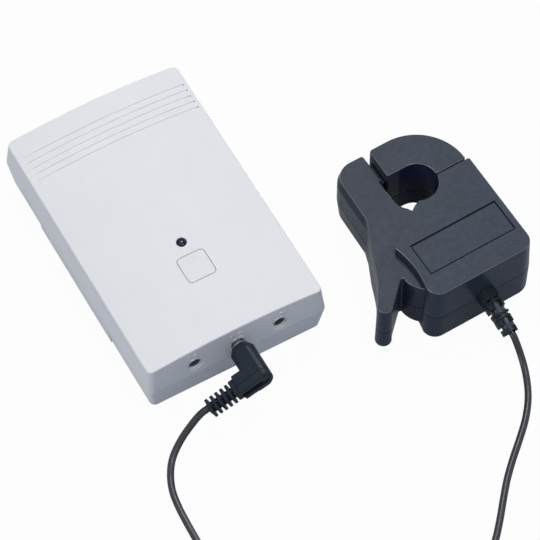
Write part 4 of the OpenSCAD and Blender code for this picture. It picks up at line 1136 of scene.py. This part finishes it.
case_top()
case_base()
door_panel()
button_cap()
lamp_lens()
plug = plug_moulding()
ribs = plug_ribs()
clamp_upper()
clamp_lower()
arch()
jaw_top()
jaw_bottom()
relief_lobes()


# CAD nodes that stay: a better finish, and edges softened by a width in millimetres
FINISHES = (
    (CHIP, 0.15, "switch_plunger", "tact_switch", "main_chip", "antenna"),
    (SOCKET, 0.15, "socket_left", "socket_centre", "socket_right"),
    (BOARD, 0.1, "circuit_board"), (CAN, 0.15, "radio_module"), (JACKET, 0.4, "battery_cells"),
    (NICKEL, 0.1, "battery_contacts"), (NICKEL, 0.12, "plug_pin"),
    (STEEL, 0, "battery_springs", "torsion_spring"), (STEEL, 0.15, "board_screws"),
    (STEEL, 0.2, "pivot_pin", "clamp_screws", "jaw_screws"), (STEEL, 0.25, "case_screws"),
    (CORE, 0.1, "fixed_core", "moving_core"), (BOBBIN, 0.1, "winding_bobbin"),
    (COPPER, 0.2, "secondary_winding"))


def dress(name, finish, width):
    ob = frame["nodes"][name]
    for s in ob.material_slots:
        s.material = finish
    if width:
        ob.modifiers.new("weld", "WELD").merge_threshold = 1e-6
        round_edges(ob, width, 2, 40)


for finish, width, *names in FINISHES:
    for name in names:
        dress(name, finish, width)


# Floor, world and lamps
FLOOR_COLOUR, WORLD_COLOUR = (0.45, 0.49, 0.55, 1), (0.27, 0.306, 0.38, 1)
PURE = (1, 1, 1, 1)
FLOOR_HALF = 4
WARM, PALE, PLAIN = (1, 0.968, 0.92), (1, 0.975, 0.94), (1, 1, 1)
LIT_AT = (0.03, -0.03, 0)


def maths(tree, operation, a, b):
    out = add_node(tree, "Math", {0: a, 1: b})
    out.operation = operation
    return out.outputs[0]


def seen(tree, share, mirrored):
    """Share of the plain white background for camera and transmission rays, and for glossy ones."""
    rays = add_node(tree, "LightPath").outputs
    straight = maths(tree, "MAXIMUM", rays["Is Camera Ray"], rays["Is Transmission Ray"])
    shown = maths(tree, "MULTIPLY", straight, share)
    glossy = maths(tree, "MULTIPLY", rays["Is Glossy Ray"], mirrored)
    return maths(tree, "MAXIMUM", shown, glossy)


def backdrop(tree, output, plain, colour, bright, shares):
    """Mix of a plain shader with pure white, which only some rays see."""
    dull = add_node(tree, plain, {"Color": colour})
    white = add_node(tree, bright, {"Color": PURE})
    mix = add_node(tree, "MixShader", {0: seen(tree, *shares), 1: dull.outputs[0], 2: white.outputs[0]})
    add_node(tree, output, {"Surface": mix.outputs[0]})


def floor():
    h = FLOOR_HALF
    mesh = bpy.data.meshes.new("floor")
    mesh.from_pydata([(-h, -h, 0), (h, -h, 0), (h, h, 0), (-h, h, 0)], [], [(0, 1, 2, 3)])
    ob = bpy.data.objects.new("floor", mesh)
    scene.collection.objects.link(ob)
    mat, tree = new_material("floor")
    backdrop(tree, "OutputMaterial", "BsdfDiffuse", FLOOR_COLOUR, "Emission", (0.97, 0.3))
    mesh.materials.append(mat)


def world():
    data = bpy.data.worlds.new("studio")
    scene.world = data
    data.use_nodes = True
    data.node_tree.nodes.clear()
    backdrop(data.node_tree, "OutputWorld", "Background", WORLD_COLOUR, "Background", (1, 1))


def lamp(name, way, distance, size, power, colour):
    """Square lamp in one direction from the middle of the part, facing it."""
    data = bpy.data.lights.new(name, "AREA")
    data.shape = "SQUARE"
    data.size = size
    data.energy = power
    data.color = colour
    ob = bpy.data.objects.new(name, data)
    way = Vector(way).normalized()
    facing = way.to_track_quat("Z", "Y").to_matrix().to_4x4()
    ob.matrix_world = Matrix.Translation(Vector(LIT_AT) + way * distance) @ facing
    scene.collection.objects.link(ob)


floor()
world()
lamp("key", (-0.12, 0.12, 0.95), 4, 2.4, 15, WARM)
lamp("back", (0.245, 0.4375, 0.865), 4, 1.1, 47, WARM)
lamp("fill", (-0.95, 0, 0.3), 4, 2, 36, PALE)
lamp("side", (0.8, 0.44, 0.41), 1.6, 0.3, 4, PLAIN)
lamp("strip", (0.2, -0.2, 0.96), 1.6, 0.2, 4.6, WARM)
